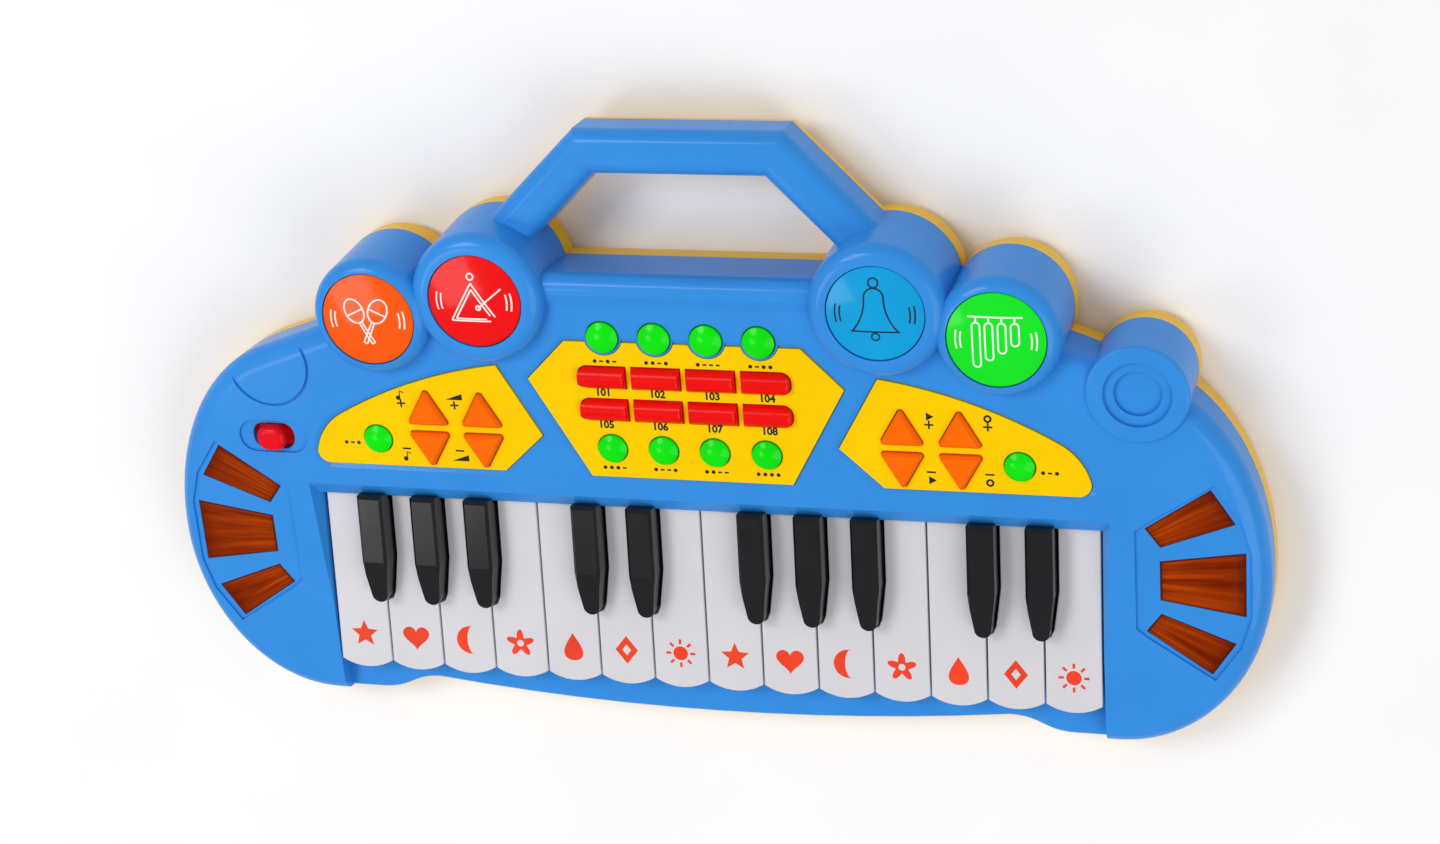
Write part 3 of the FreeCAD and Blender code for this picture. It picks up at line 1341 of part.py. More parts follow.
def cell_axis():
    """Height of the battery cells' axes."""
    return float(size.base_z) + float(size.door_thick) + float(size.cell_gap) + float(size.cell_radius)


def door_screw_x():
    half_x, _, _ = battery_room()
    return half_x + float(size.door_ledge) + float(size.door_ear) / 2


def key_board_bottom():
    """Underside of the key board, set by the pressed white keys over their domes."""
    swing = math.radians(float(size.key_swing))
    reach = float(size.hinge_y) - float(size.plunger_y) + float(size.dome_radius)
    travel = reach * math.tan(swing)
    skirt = float(size.key_top_z) - float(size.white_depth)
    dome_top = skirt - travel - float(size.press_gap)
    return dome_top - float(size.dome_height) - float(size.mat_thick) - float(size.board_thick)


def bottom_shell():
    """Yellow tray with feet, key rail, battery box, speaker ring, board and screw posts."""
    wall = float(size.wall)
    base, seam = float(size.base_z), float(size.seam_z)
    floor = base + float(size.floor_wall)
    radius = float(size.base_radius)

    def bottom_rim(edge):
        return all(abs(point.z - base) < 1e-3 for point in edge.discretize(5))
    columns = pods(0.0) + [ring_spot(0.0)]
    plan = rise(case_face(0.0), base, seam).fuse([tray_column(spot, base) for spot in columns])
    plan = plan.removeSplitter()
    outer = fillet_where(plan, radius, bottom_rim)

    def handle_rim(edge):
        level = all(abs(vertex.Z - float(size.handle_bottom_z)) < 1e-3 for vertex in edge.Vertexes)
        return level and edge.CenterOfMass.y > float(behind(size.inner_pod_y))
    handle = rise(handle_face(0.0), float(size.handle_bottom_z), seam)
    outer = outer.fuse(fillet_where(handle, float(size.handle_radius), handle_rim))

    inner_columns = pods(wall) + [ring_spot(wall)]
    hollow = rise(case_face(wall), floor, seam).fuse([tray_column(spot, floor) for spot in inner_columns])
    shell = outer.cut(hollow.fuse(rise(handle_face(wall), float(size.handle_bottom_z) + wall, seam)))

    added = [column((sign * float(x), float(behind(y)), float(size.foot_radius)), 0.0, floor)
             for x, y in ((size.foot_front_x, size.foot_front_y), (size.foot_back_x, size.foot_back_y))
             for sign in (-1, 1)]
    added += key_rail(base)
    for x, y, low in screw_places():
        added.append(column((x, y, float(size.boss_radius)), low, seam))
    under_pads = pad_board_top() - float(size.board_thick)
    added += [board_post(u, v, under_pads, float(size.pad_post_radius)) for u, v, _ in pods(0.0)]
    added += [column((x, y, float(size.key_board_post)), base, key_board_bottom())
              for x, y in key_board_posts()]
    added += lamp_posts()
    added += battery_box(base)
    added.append(speaker_wall(base))
    shell = shell.fuse(added)
    cuts = battery_cuts() + speaker_grille() + screw_cuts()
    return shell.cut(cuts).removeSplitter()


def key_rail(base):
    """Round bead on a web, under the tails of the keys."""
    half = opening_half() - float(size.opening_side_gap)
    y = float(behind(size.hinge_y))
    z = float(size.key_top_z) - float(size.hinge_drop)
    web = float(size.rail_web) / 2
    bead = Part.makeCylinder(float(size.bead_radius), 2 * half, vector(-half, y, z), vector(1, 0))
    return [bead, box_between(vector(-half, y - web, base), vector(half, y + web, z))]


def key_board_posts():
    """Places of the posts under the key board."""
    inset = float(size.key_board_post + size.board_margin)
    half = float(size.key_board_half) - inset
    rows = (float(behind(size.key_board_front)) + inset, float(behind(size.key_board_back)) - inset)
    return [(x, y) for x in (-half, 0.0, half) for y in rows]


def pad_board_top():
    """Top of the pad boards over the deck's level."""
    flange = float(size.pod_rise) - float(size.wall) - float(size.cap_seat) - float(size.cap_flange_thick)
    dome_top = flange - float(size.pad_travel) - float(size.press_gap)
    return dome_top - float(size.dome_height) - float(size.mat_thick)


def board_post(u, v, under, radius):
    """Upright post from the floor to the sloping underside of a board."""
    x, y, z = map(float, deck_point(u, v, under))
    lean = radius * math.tan(math.radians(float(size.deck_tilt)))
    return column((x, y, radius), float(size.base_z), z - lean)


def lamp_board_top():
    """Top of the lamp boards under the deck."""
    return -(float(size.deck_wall) + float(size.window_flange_thick) + float(size.lamp_board_drop))


def lamp_posts():
    """Two posts under each lamp board."""
    radius = float(size.key_board_post)
    inset = radius + float(size.board_margin)
    u = float(size.lamp_board_inner_u) + inset
    reach = float(size.lamp_board_half) - inset
    under = lamp_board_top() - float(size.board_thick)
    return [board_post(side * u, float(size.fan_axis_v) + end * reach, under, radius)
            for side in (-1, 1) for end in (-1, 1)]


def battery_box(base):
    """Walls and ceiling around the battery cells, and the post of the door screw."""
    half_x, half_y, ceiling = battery_room()
    middle = float(behind(size.cell_middle_y))
    wall = float(size.box_wall)
    outer = box_between(vector(-half_x - wall, middle - half_y - wall, base),
                        vector(half_x + wall, middle + half_y + wall, ceiling + wall))
    post_top = float(size.seam_z)
    post = column((door_screw_x(), middle, float(size.boss_radius)), base, post_top)
    return [outer, post]


def battery_cuts():
    """Inside of the battery box, and the stepped opening of its door."""
    half_x, half_y, ceiling = battery_room()
    middle = float(behind(size.cell_middle_y))
    base = float(size.base_z)
    inside = box_between(vector(-half_x, middle - half_y, 0), vector(half_x, middle + half_y, ceiling))
    gap = float(size.door_gap)
    ledge = float(size.door_ledge)
    rebate = box_between(
        vector(-half_x - ledge - gap, middle - half_y - ledge - gap, 0),
        vector(half_x + ledge + float(size.door_ear) + gap, middle + half_y + ledge + gap,
               base + float(size.door_thick)))
    pilot = column((door_screw_x(), middle, float(size.screw_radius) + float(size.screw_clearance)),
                   base, float(size.seam_z) - float(size.screw_head_height))
    return [inside, rebate, pilot]


def speaker_wall(base):
    """Low ring that keeps the speaker in place."""
    x, y = float(size.speaker_x), float(behind(size.speaker_y))
    inner = float(size.speaker_radius) + float(size.speaker_gap)
    top = base + float(size.floor_wall) + float(size.speaker_ring_height)
    tube = column((x, y, inner + float(size.speaker_ring)), base, top)
    return tube.cut(column((x, y, inner), base + float(size.floor_wall), top))


def speaker_grille():
    """Slots through the floor under the speaker."""
    x, y = float(size.speaker_x), float(behind(size.speaker_y))
    pitch, half = float(size.grille_pitch), float(size.grille_slot) / 2
    reach = float(size.speaker_radius) - pitch
    count = int(reach // pitch)
    floor = float(size.base_z) + float(size.floor_wall)
    slots = []
    for index in range(-count, count + 1):
        offset = index * pitch
        length = math.sqrt(reach ** 2 - offset ** 2)
        slots.append(box_between(vector(x - length, y + offset - half, 0),
                                 vector(x + length, y + offset + half, floor)))
    return slots


def screw_cuts():
    """Clearance holes and counterbores of the case screws."""
    shank = float(size.screw_radius) + float(size.screw_clearance)
    head = float(size.screw_head) + float(size.screw_clearance)
    tools = []
    for x, y, _ in screw_places():
        tools.append(column((x, y, shank), 0.0, float(size.seam_z)))
        tools.append(column((x, y, head), 0.0, head_seat()))
    return tools


def solid_part(label, shape):
    """Sub-part whose shape is worked out from the sheet by the functions above."""
    item = doc.addObject("Part::Feature", label)
    item.Shape = shape
    return register(item, label)


# Inside pieces


def box_item(name, low, high):
    """Box between two corners given by sizes."""
    item = doc.addObject("Part::Box", name)
    sides = [as_size(b) - as_size(a) for a, b in zip(low, high)]
    bind(item, Length=sides[0], Width=sides[1], Height=sides[2])
    place(item, *low)
    return item


def cylinder_item(name, radius, height, base):
    item = doc.addObject("Part::Cylinder", name)
    bind(item, Radius=radius, Height=height)
    place(item, *base)
    return item


def tilt_with_deck(item, u, v, w):
    """Place an object on the deck by its own origin."""
    item.Placement = FreeCAD.Placement(vector(0, 0), FreeCAD.Rotation(vector(1, 0), float(size.deck_tilt)))
    place(item, *deck_point(u, v, w))
    return item


def deck_box(name, low, high):
    """Box drawn on the deck between two corners in u, v and w."""
    item = box_item(name, low, high)
    return tilt_with_deck(item, *low)


def deck_cylinder(name, radius, height, u, v, w):
    item = cylinder_item(name, radius, height, (0.0, 0.0, 0.0))
    return tilt_with_deck(item, u, v, w)


def fused(name, items):
    item = doc.addObject("Part::MultiFuse", name)
    item.Shapes = items
    return item


def group(label, items):
    """One node that holds several separate solids."""
    item = doc.addObject("Part::Compound", label)
    item.Links = items
    return register(item, label)


def size_of(value):
    """A worked-out number as a size."""
    return as_size(round(value, 6))


def pad_places():
    """Drum pads: colour, u and v, from left to right."""
    outer, inner = plan_v(size.outer_pod_y), plan_v(size.inner_pod_y)
    return (("drum_pad_orange", -size.outer_pod_x, outer), ("drum_pad_red", -size.inner_pod_x, inner),
            ("drum_pad_blue", size.inner_pod_x, inner), ("drum_pad_green", size.outer_pod_x, outer))


def key_board_corners(low, high):
    """Opposite corners of a layer over the whole key board."""
    half = size.key_board_half
    return ((-half, behind(size.key_board_front), low), (half, behind(size.key_board_back), high))


def circuit_boards():
    """Key board, panel boards, switch board, pad boards and lamp boards with lamps."""
    low = size_of(key_board_bottom())
    boards = [box_item("KeyBoard", *key_board_corners(low, low + size.board_thick))]
    top = size_of(board_top())
    under = top - size.board_thick
    half = size.middle_board_half
    boards.append(deck_box("MiddleBoard", (-half, size.middle_board_low_v, under),
                           (half, size.middle_board_high_v, top)))
    inner, outer = size.side_board_inner_u, size.side_board_outer_u
    for name, left, right in (("LeftBoard", -outer, -inner), ("RightBoard", inner, outer)):
        boards.append(deck_box(name, (left, size.side_board_low_v, under),
                               (right, size.side_board_high_v, top)))
    reach = size.switch_board_half
    boards.append(deck_box("SwitchBoard", (size.switch_u - reach, size.switch_v - reach, under),
                           (size.switch_u + reach, size.switch_v + reach, top)))
    pad_top = size_of(pad_board_top())
    for name, u, v in pad_places():
        boards.append(deck_cylinder(f"{name}_board", size.pad_board_radius, size.board_thick,
                                    u, v, pad_top - size.board_thick))
    lamp_top = size_of(lamp_board_top())
    axis, lamp_half = size.fan_axis_v, size.lamp_board_half
    inner, outer = size.lamp_board_inner_u, size.lamp_board_outer_u
    for name, left, right in (("LeftLamps", -outer, -inner), ("RightLamps", inner, outer)):
        board = deck_box(name, (left, axis - lamp_half, lamp_top - size.board_thick),
                         (right, axis + lamp_half, lamp_top))
        middle = (left + right) / 2
        lamps = [deck_cylinder(f"{name}Lamp", size.lamp_radius, size.lamp_board_drop / 2,
                               middle, axis + lamp_half * share, lamp_top) for share in LAMP_SHARES]
        boards.append(fused(f"{name}Board", [board] + lamps))
    group("circuit_boards", boards)


def contact_mats():
    """Rubber mats on the boards, with a pressed dome under every key, button and pad."""
    mats = []
    low = size_of(key_board_bottom()) + size.board_thick
    mat_top = low + size.mat_thick
    pieces = [box_item("KeyMat", *key_board_corners(low, mat_top))]
    for number in range(1, WHITE_KEYS + 1):
        x = size.key_pitch * (number - (WHITE_KEYS + 1) / 2)
        pieces.append(cylinder_item("WhiteDome", size.dome_radius, size.dome_height,
                                    (x, behind(size.plunger_y), mat_top)))
    for after in BLACK_AFTER_WHITE:
        x = size.key_pitch * (after - WHITE_KEYS / 2)
        pieces.append(cylinder_item("BlackDome", size.dome_radius, size.dome_height,
                                    (x, behind(size.black_plunger_y), mat_top)))
    mats.append(fused("KeyMatWithDomes", pieces))

    top = size_of(board_top())
    raised = top + size.mat_thick
    edge = (size.post_radius + size.board_margin) * 2
    half = size.middle_board_half - edge
    middle = [deck_box("MiddleMat", (-half, size.middle_board_low_v, top),
                       (half, size.middle_board_high_v, raised))]
    sides = {}
    for name, sign in (("left", -1), ("right", 1)):
        near, far = size.side_board_inner_u, size.triangle_outer_u + size.triangle_width / 2
        left, right = sorted((near * sign, far * sign), key=float)
        strip = deck_box(f"{name}Mat", (left, size.side_board_low_v, top),
                         (right, size.side_board_high_v, raised))
        far = size.green_side_u + size.green_radius
        left, right = sorted((size.triangle_outer_u * sign, far * sign), key=float)
        tongue = deck_box(f"{name}Tongue", (left, size.side_board_low_v, top),
                          (right, size.green_side_v + size.green_radius, raised))
        sides[name] = [strip, tongue]
    for name, u, v, _ in green_places():
        target = sides.get(name.rsplit("_", 1)[-1], middle)
        target.append(deck_cylinder(f"{name}_dome", size.dome_radius, size.dome_height, u, v, raised))
    for name, u, v, _ in triangle_places():
        target = sides[name.split("_")[2]]
        target.append(deck_cylinder(f"{name}_dome", size.dome_radius, size.dome_height, u, v, raised))
    for v in (size.red_upper_v, size.red_lower_v):
        middle += [deck_cylinder("BarDome", size.dome_radius, size.dome_height, u, v, raised)
                   for u in bar_middles()]
    mats.append(fused("MiddleMatWithDomes", middle))
    mats += [fused(f"{name}MatWithDomes", pieces) for name, pieces in sides.items()]
    pad_top = size_of(pad_board_top())
    for name, u, v in pad_places():
        mat = deck_cylinder(f"{name}_mat", size.pad_board_radius, size.mat_thick, u, v, pad_top)
        dome = deck_cylinder(f"{name}_dome", size.dome_radius, size.dome_height, u, v,
                             pad_top + size.mat_thick)
        mats.append(fused(f"{name}_mat_with_dome", [mat, dome]))
    group("contact_mats", mats)


def cell_rows():
    """Y of each battery cell."""
    return [behind(size.cell_middle_y) + size.cell_pitch * (index - (BATTERY_CELLS - 1) / 2)
            for index in range(BATTERY_CELLS)]


def along_x(item):
    """Turn a cylinder so that it runs along X."""
    base = item.Placement.Base
    item.Placement = FreeCAD.Placement(base, FreeCAD.Rotation(vector(0, 1), 90.0))
    return item


def battery_cells():
    """Battery cells, each with its nub, side by side along X."""
    cells = []
    z = size_of(cell_axis())
    half = size.cell_length / 2
    for y in cell_rows():
        can = cylinder_item("Can", size.cell_radius, size.cell_length, (-half, y, z))
        nub = cylinder_item("Nub", size.nub_radius, size.nub_length, (half, y, z))
        cells.append(fused("Cell", [along_x(can), along_x(nub)]))
    group("battery_cells", cells)


def battery_contacts():
    """A spring with its tab at one end of every cell, and a flat tab at the other."""
    half_x, _, _ = battery_room()
    wall = size_of(half_x)
    z = size_of(cell_axis())
    pieces = []
    for y in cell_rows():
        low = (y - size.contact_width / 2, z - size.contact_height / 2)
        high = (y + size.contact_width / 2, z + size.contact_height / 2)
        tab = box_item("SpringTab", (-wall, *low), (size.contact_thick - wall, *high))
        coil = cylinder_item("Coil", size.spring_radius, wall - size.contact_thick - size.cell_length / 2,
                             (size.contact_thick - wall, y, z))
        pieces.append(fused("SpringContact", [tab, along_x(coil)]))
        stop = size.cell_length / 2 + size.nub_length
        flat = box_item("FlatTab", (stop + size.contact_thick, *low), (wall, *high))
        button = cylinder_item("Button", size.nub_radius, size.contact_thick, (stop, y, z))
        pieces.append(fused("FlatContact", [flat, along_x(button)]))
    group("battery_contacts", pieces)


def battery_door():
    """Flat door in the floor, with an ear and a screw hole."""
    half_x, half_y, _ = battery_room()
    ledge = size.door_ledge
    middle = behind(size.cell_middle_y)
    body = new_body("battery_door")
    sketch = new_sketch(body)
    left, right = -(size_of(half_x) + ledge), size_of(half_x) + ledge + size.door_ear
    reach = size_of(half_y) + ledge
    draw_rectangle(sketch, left, right, -reach, reach)
    feature(body, "Pad", sketch, size.door_thick)
    hole = new_sketch(body)
    draw_circle(hole, (size_of(door_screw_x()), 0.0), size.screw_radius + size.screw_clearance)
    feature(body, "Pocket", hole, size.door_thick * 2, reverse=True)
    place(body, 0.0, middle, size.base_z)


def speaker():
    """Round speaker that faces down: frame, basket and magnet."""
    body = new_body("speaker")
    sketch = new_sketch(body, "XZ_Plane")
    frame = size.speaker_frame
    basket = frame + size.speaker_basket
    top = basket + size.magnet_height
    draw_outline(sketch, [
        (0.0, 0.0), (size.speaker_radius, 0.0), (size.speaker_radius, frame),
        (size.speaker_radius - frame, frame), (size.speaker_cone, basket),
        (size.magnet_radius, basket), (size.magnet_radius, top), (0.0, top),
    ])
    revolve(body, sketch)
    place(body, size.speaker_x, behind(size.speaker_y), size.base_z + size.floor_wall)


def screws():
    """Case screws and the battery door's screw, heads down."""
    items = []
    seat = size_of(head_seat())
    for x, y, _ in screw_places():
        x, y = size_of(x), size_of(y)
        head = cylinder_item("Head", size.screw_head, size.screw_head_height,
                             (x, y, seat - size.screw_head_height))
        shank = cylinder_item("Shank", size.screw_radius, size.screw_floor + size.screw_grip, (x, y, seat))
        items.append(fused("Screw", [head, shank]))
    x, y = size_of(door_screw_x()), behind(size.cell_middle_y)
    head = cylinder_item("DoorHead", size.screw_head, size.base_z / 2, (x, y, size.base_z / 2))
    length = size.seam_z - size.base_z - size.screw_head_height * 2
    shank = cylinder_item("DoorShank", size.screw_radius, length, (x, y, size.base_z))
    items.append(fused("DoorScrew", [head, shank]))
    group("screws", items)


def build():
    """Make every sub-part of the toy."""
    solid_part("top_shell", top_shell())
    solid_part("bottom_shell", bottom_shell())
    solid_part("panel_plates", panel_plates())
    solid_part("light_windows", light_windows())
    for number in range(1, WHITE_KEYS + 1):
        white_key(number)
    for number, after in enumerate(BLACK_AFTER_WHITE, 1):
        black_key(number, after)
    for name, u, v, radius in green_places():
        dome_button(name, u, v, radius)
    bar_row("red_button_row_upper", size.red_upper_v)
    bar_row("red_button_row_lower", size.red_lower_v)
    for name, u, v, turned in triangle_places():
        triangle_button(name, u, v, turned)
    for name, u, v in pad_places():
        drum_pad(name, u, v)
    switch_knob()
    circuit_boards()
    contact_mats()
    battery_cells()
    battery_contacts()
    battery_door()
    speaker()
    screws()
    doc.recompute()


def check_and_write():
    """Stop on any failed object, then write one file for each sub-part."""
    failed = [item.Label for item in doc.Objects if "Invalid" in item.State or "Error" in item.State]
    failed += [item.Label for item in nodes if item.Shape.isNull() or not item.Shape.isValid()]
    if failed:
        raise RuntimeError("failed: " + ", ".join(failed))
    os.makedirs("parts", exist_ok=True)
    for item in nodes:
        item.Shape.exportStep(f"parts/{item.Label}.step")
        print(item.Label, len(item.Shape.Solids), round(item.Shape.Volume, 1))


build()
check_and_write()
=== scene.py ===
"""Looks of a toy piano: finishes for its solids, printed marks, pad pictures and window ribs."""
import json
import logging
import math
from collections.abc import Callable, Sequence
from dataclasses import dataclass, field
from enum import Enum
from typing import ClassVar

import bmesh
import bpy
import numpy as np
from mathutils import Matrix, Vector


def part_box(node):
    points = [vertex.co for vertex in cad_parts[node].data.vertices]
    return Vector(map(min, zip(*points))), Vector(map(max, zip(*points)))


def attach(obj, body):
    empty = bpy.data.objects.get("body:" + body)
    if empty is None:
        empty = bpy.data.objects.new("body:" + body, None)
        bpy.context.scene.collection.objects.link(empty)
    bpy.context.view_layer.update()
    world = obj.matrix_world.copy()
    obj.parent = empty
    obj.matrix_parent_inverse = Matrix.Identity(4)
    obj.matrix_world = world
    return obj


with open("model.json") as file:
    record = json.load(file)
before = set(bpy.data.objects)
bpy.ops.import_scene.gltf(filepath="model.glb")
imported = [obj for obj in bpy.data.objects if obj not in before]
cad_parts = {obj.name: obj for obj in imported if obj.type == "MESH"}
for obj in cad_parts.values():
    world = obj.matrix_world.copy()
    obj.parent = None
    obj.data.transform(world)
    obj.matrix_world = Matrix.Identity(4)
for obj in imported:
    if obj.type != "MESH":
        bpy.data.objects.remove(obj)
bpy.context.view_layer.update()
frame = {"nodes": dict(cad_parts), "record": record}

LOG = logging.getLogger("toy_piano")
MM = 0.001
CASE = "case"
GRAIN = "grain"
Colour = tuple[float, float, float, float]
Triple = tuple[float, float, float]
Curve = np.ndarray
Lay = Callable[[Curve, float], np.ndarray]


def linear(code: str, share: float = 1.0) -> Colour:
    """Turn a screen colour into light.

    Args:
        code: Colour as six hex digits after a hash.
        share: Factor on the light.

    Returns:
        Red, green, blue and alpha as linear light.
    """
    screen = np.array([int(code[i:i + 2], 16) for i in (1, 3, 5)]) / 255.0
    light = np.where(screen <= 0.04045, screen / 12.92, ((screen + 0.055) / 1.055) ** 2.4)
    red, green, blue = np.clip(light * share, 0.0, 1.0).tolist()
    return red, green, blue, 1.0


class Graph:
    """A material's node tree with short ways to add and link nodes."""

    def __init__(self, name: str) -> None:
        """Start a material.

        Args:
            name: Name of the material.
        """
        self.material = bpy.data.materials.new(name)
        self.material.use_nodes = True
        self.tree = self.material.node_tree
        self.shader = self.tree.nodes["Principled BSDF"]

    def node(self, kind: str, **values: object) -> bpy.types.Node:
        """Add a node.

        Args:
            kind: Blender's name of the node type.
            values: Values of its inputs by lower-case name, or settings of the node.

        Returns:
            The new node.
        """
        made = self.tree.nodes.new(kind)
        inputs = {socket.name.lower().replace(" ", "_"): socket for socket in reversed(made.inputs[:])}
        for name, value in values.items():
            if name in inputs:
                inputs[name].default_value = value
            else:
                setattr(made, name, value)
        return made

    def link(self, output: bpy.types.NodeSocket, target: bpy.types.NodeSocket) -> None:
        """Join two sockets.

        Args:
            output: Where the value comes from.
            target: Where it goes.
        """
        self.tree.links.new(output, target)

    def noise(self, scale: float, detail: float, stretch: Triple = (1.0, 1.0, 1.0),
              attribute: str = "") -> bpy.types.NodeSocket:
        """Add noise over the object's own coordinates, or over an attribute of its mesh.

        Args:
            scale: Cells for each unit.
            detail: Number of finer layers.
            stretch: Factor on each axis.
            attribute: Name of the attribute, if one is read.

        Returns:
            The noise value.
        """
        if attribute:
            place = self.node("ShaderNodeAttribute", attribute_name=attribute).outputs["Vector"]
        else:
            place = self.node("ShaderNodeTexCoord").outputs["Object"]
        mapping = self.node("ShaderNodeMapping", scale=stretch)
        cells = self.node("ShaderNodeTexNoise", scale=scale, detail=detail)
        self.link(place, mapping.inputs["Vector"])
        self.link(mapping.outputs["Vector"], cells.inputs["Vector"])
        return cells.outputs["Fac"]

    def spread(self, value: bpy.types.NodeSocket, low: float, high: float) -> bpy.types.NodeSocket:
        """Spread the middle range of a noise value between two results.

        Args:
            value: Value around one half.
            low: Result at the low end.
            high: Result at the high end.

        Returns:
            The new value.
        """
        ranged = self.node("ShaderNodeMapRange", from_min=0.3, from_max=0.7, to_min=low, to_max=high)
        self.link(value, ranged.inputs["Value"])
        return ranged.outputs["Result"]

    def faded(self, value: bpy.types.NodeSocket, attribute: str, last: float) -> bpy.types.NodeSocket:
        """Fade a value along the second axis of an attribute that runs from 0 to 1.

        Args:
            value: The value at the start.
            attribute: Name of the attribute.
            last: Share that is left at the end.

        Returns:
            The faded value.
        """
        place = self.node("ShaderNodeAttribute", attribute_name=attribute)
        axes = self.node("ShaderNodeSeparateXYZ")
        share = self.node("ShaderNodeMapRange", to_min=1.0, to_max=last)
        product = self.node("ShaderNodeMath", operation="MULTIPLY")
        self.link(place.outputs["Vector"], axes.inputs["Vector"])
        self.link(axes.outputs["Y"], share.inputs["Value"])
        self.link(value, product.inputs[0])
        self.link(share.outputs["Result"], product.inputs[1])
        return product.outputs["Value"]

    def tint(self, value: bpy.types.NodeSocket, dark: Colour, light: Colour) -> None:
        """Colour the shader between two tones.

        Args:
            value: Share from 0 to 1.
            dark: Colour at 0.
            light: Colour at 1.
        """
        mix = self.node("ShaderNodeMix", data_type="RGBA")
        first, second = [socket for socket in mix.inputs if socket.type == "RGBA"]
        first.default_value = dark
        second.default_value = light
        self.link(value, mix.inputs["Factor"])
        result = [socket for socket in mix.outputs if socket.type == "RGBA"][0]
        self.link(result, self.shader.inputs["Base Color"])

    def bump(self, height: bpy.types.NodeSocket, strength: float, depth: float) -> None:
        """Raise the surface by a height.

        Args:
            height: Height from 0 to 1.
            strength: Share of the effect.
            depth: Height of 1 in metres.
        """
        raised = self.node("ShaderNodeBump", strength=strength, distance=depth)
        self.link(height, raised.inputs["Height"])
        self.link(raised.outputs["Normal"], self.shader.inputs["Normal"])

    def set(self, **values: object) -> None:
        """Set inputs of the shader.

        Args:
            values: Values by lower-case name of the input.
        """
        inputs = {socket.name.lower().replace(" ", "_"): socket for socket in self.shader.inputs}
        for name, value in values.items():
            inputs[name].default_value = value


@dataclass(frozen=True)
class Plastic:
    """Moulded plastic: a faint mottle, uneven gloss and, on small pieces, an orange-peel skin."""

    name: str
    colour: str
    roughness: float = 0.32
    mottle: float = 0.05
    mottle_cells: float = 55.0
    peel: float = 0.03
    peel_cells: float = 700.0
    peel_depth: float = 0.2 * MM
    gloss: float = 0.4
    coat: float = 0.0
    coat_roughness: float = 0.1
    subsurface: float = 0.0
    subsurface_reach: float = 1.5 * MM
    metallic: float = 0.0
    wear: float = 0.17
    wear_cells: float = 160.0
    wear_stretch: Triple = (1.0, 0.4, 1.0)

    def material(self) -> bpy.types.Material:
        """Build the material the first time.

        Returns:
            The material.
        """
        known = bpy.data.materials.get(self.name)
        if known:
            return known
        graph = Graph(self.name)
        broad = graph.spread(graph.noise(self.mottle_cells, 3.0), 0.0, 1.0)
        graph.tint(broad, linear(self.colour, 1.0 - self.mottle), linear(self.colour, 1.0 + self.mottle))
        worn = graph.noise(self.wear_cells, 2.0, self.wear_stretch)
        smooth, rough = self.roughness * (1.0 - self.wear), self.roughness * (1.0 + self.wear)
        graph.link(graph.spread(worn, smooth, rough), graph.shader.inputs["Roughness"])
        if self.peel:
            graph.bump(graph.noise(self.peel_cells, 0.0), self.peel, self.peel_depth)
        graph.set(metallic=self.metallic, specular_ior_level=self.gloss, coat_weight=self.coat,
                  coat_roughness=self.coat_roughness, subsurface_weight=self.subsurface,
                  subsurface_scale=self.subsurface_reach)
        return graph.material


@dataclass(frozen=True)
class Polished(Plastic):
    """Moulded plastic that is smooth, bright and slightly clear."""

    roughness: float = 0.2
    peel: float = 0.02
    gloss: float = 0.06
    coat: float = 0.3
    subsurface: float = 0.2


@dataclass(frozen=True)
class HighlightStreaked:
    """Clear tinted plastic with lighter streaks of painted highlight along the grain attribute of its mesh,
    which fade to its outer end.
    """

    name: str
    dark: str
    # The light tone is painted highlight: the lighter streaks stand for light caught on the glossy window.
    # The dark tone is the amber itself.
    light: str
    outer: float = 0.35
    highlight_streaks: Triple = (7.0, 0.6, 7.0)
    scratches: Triple = (40.0, 2.0, 7.0)
    scratch: float = 0.05
    scratch_depth: float = 0.2 * MM
    roughness: float = 0.34
    wear: float = 0.3
    gloss: float = 0.03
    coat: float = 0.0
    subsurface: float = 0.1
    subsurface_reach: float = 1.0 * MM

    def material(self) -> bpy.types.Material:
        """Build the material the first time.

        Returns:
            The material.
        """
        known = bpy.data.materials.get(self.name)
        if known:
            return known
        graph = Graph(self.name)
        # Painted highlight: lighter streaks of base colour along the window, fading towards its outer end.
        highlight_streaks = graph.spread(graph.noise(1.0, 2.0, self.highlight_streaks, GRAIN), 0.0, 1.0)
        graph.tint(graph.faded(highlight_streaks, GRAIN, self.outer), linear(self.dark), linear(self.light))
        fine = graph.noise(1.0, 2.0, self.scratches, GRAIN)
        smooth, rough = self.roughness * (1.0 - self.wear), self.roughness * (1.0 + self.wear)
        graph.link(graph.spread(fine, smooth, rough), graph.shader.inputs["Roughness"])
        graph.bump(fine, self.scratch, self.scratch_depth)
        graph.set(specular_ior_level=self.gloss, coat_weight=self.coat, subsurface_weight=self.subsurface,
                  subsurface_scale=self.subsurface_reach)
        return graph.material


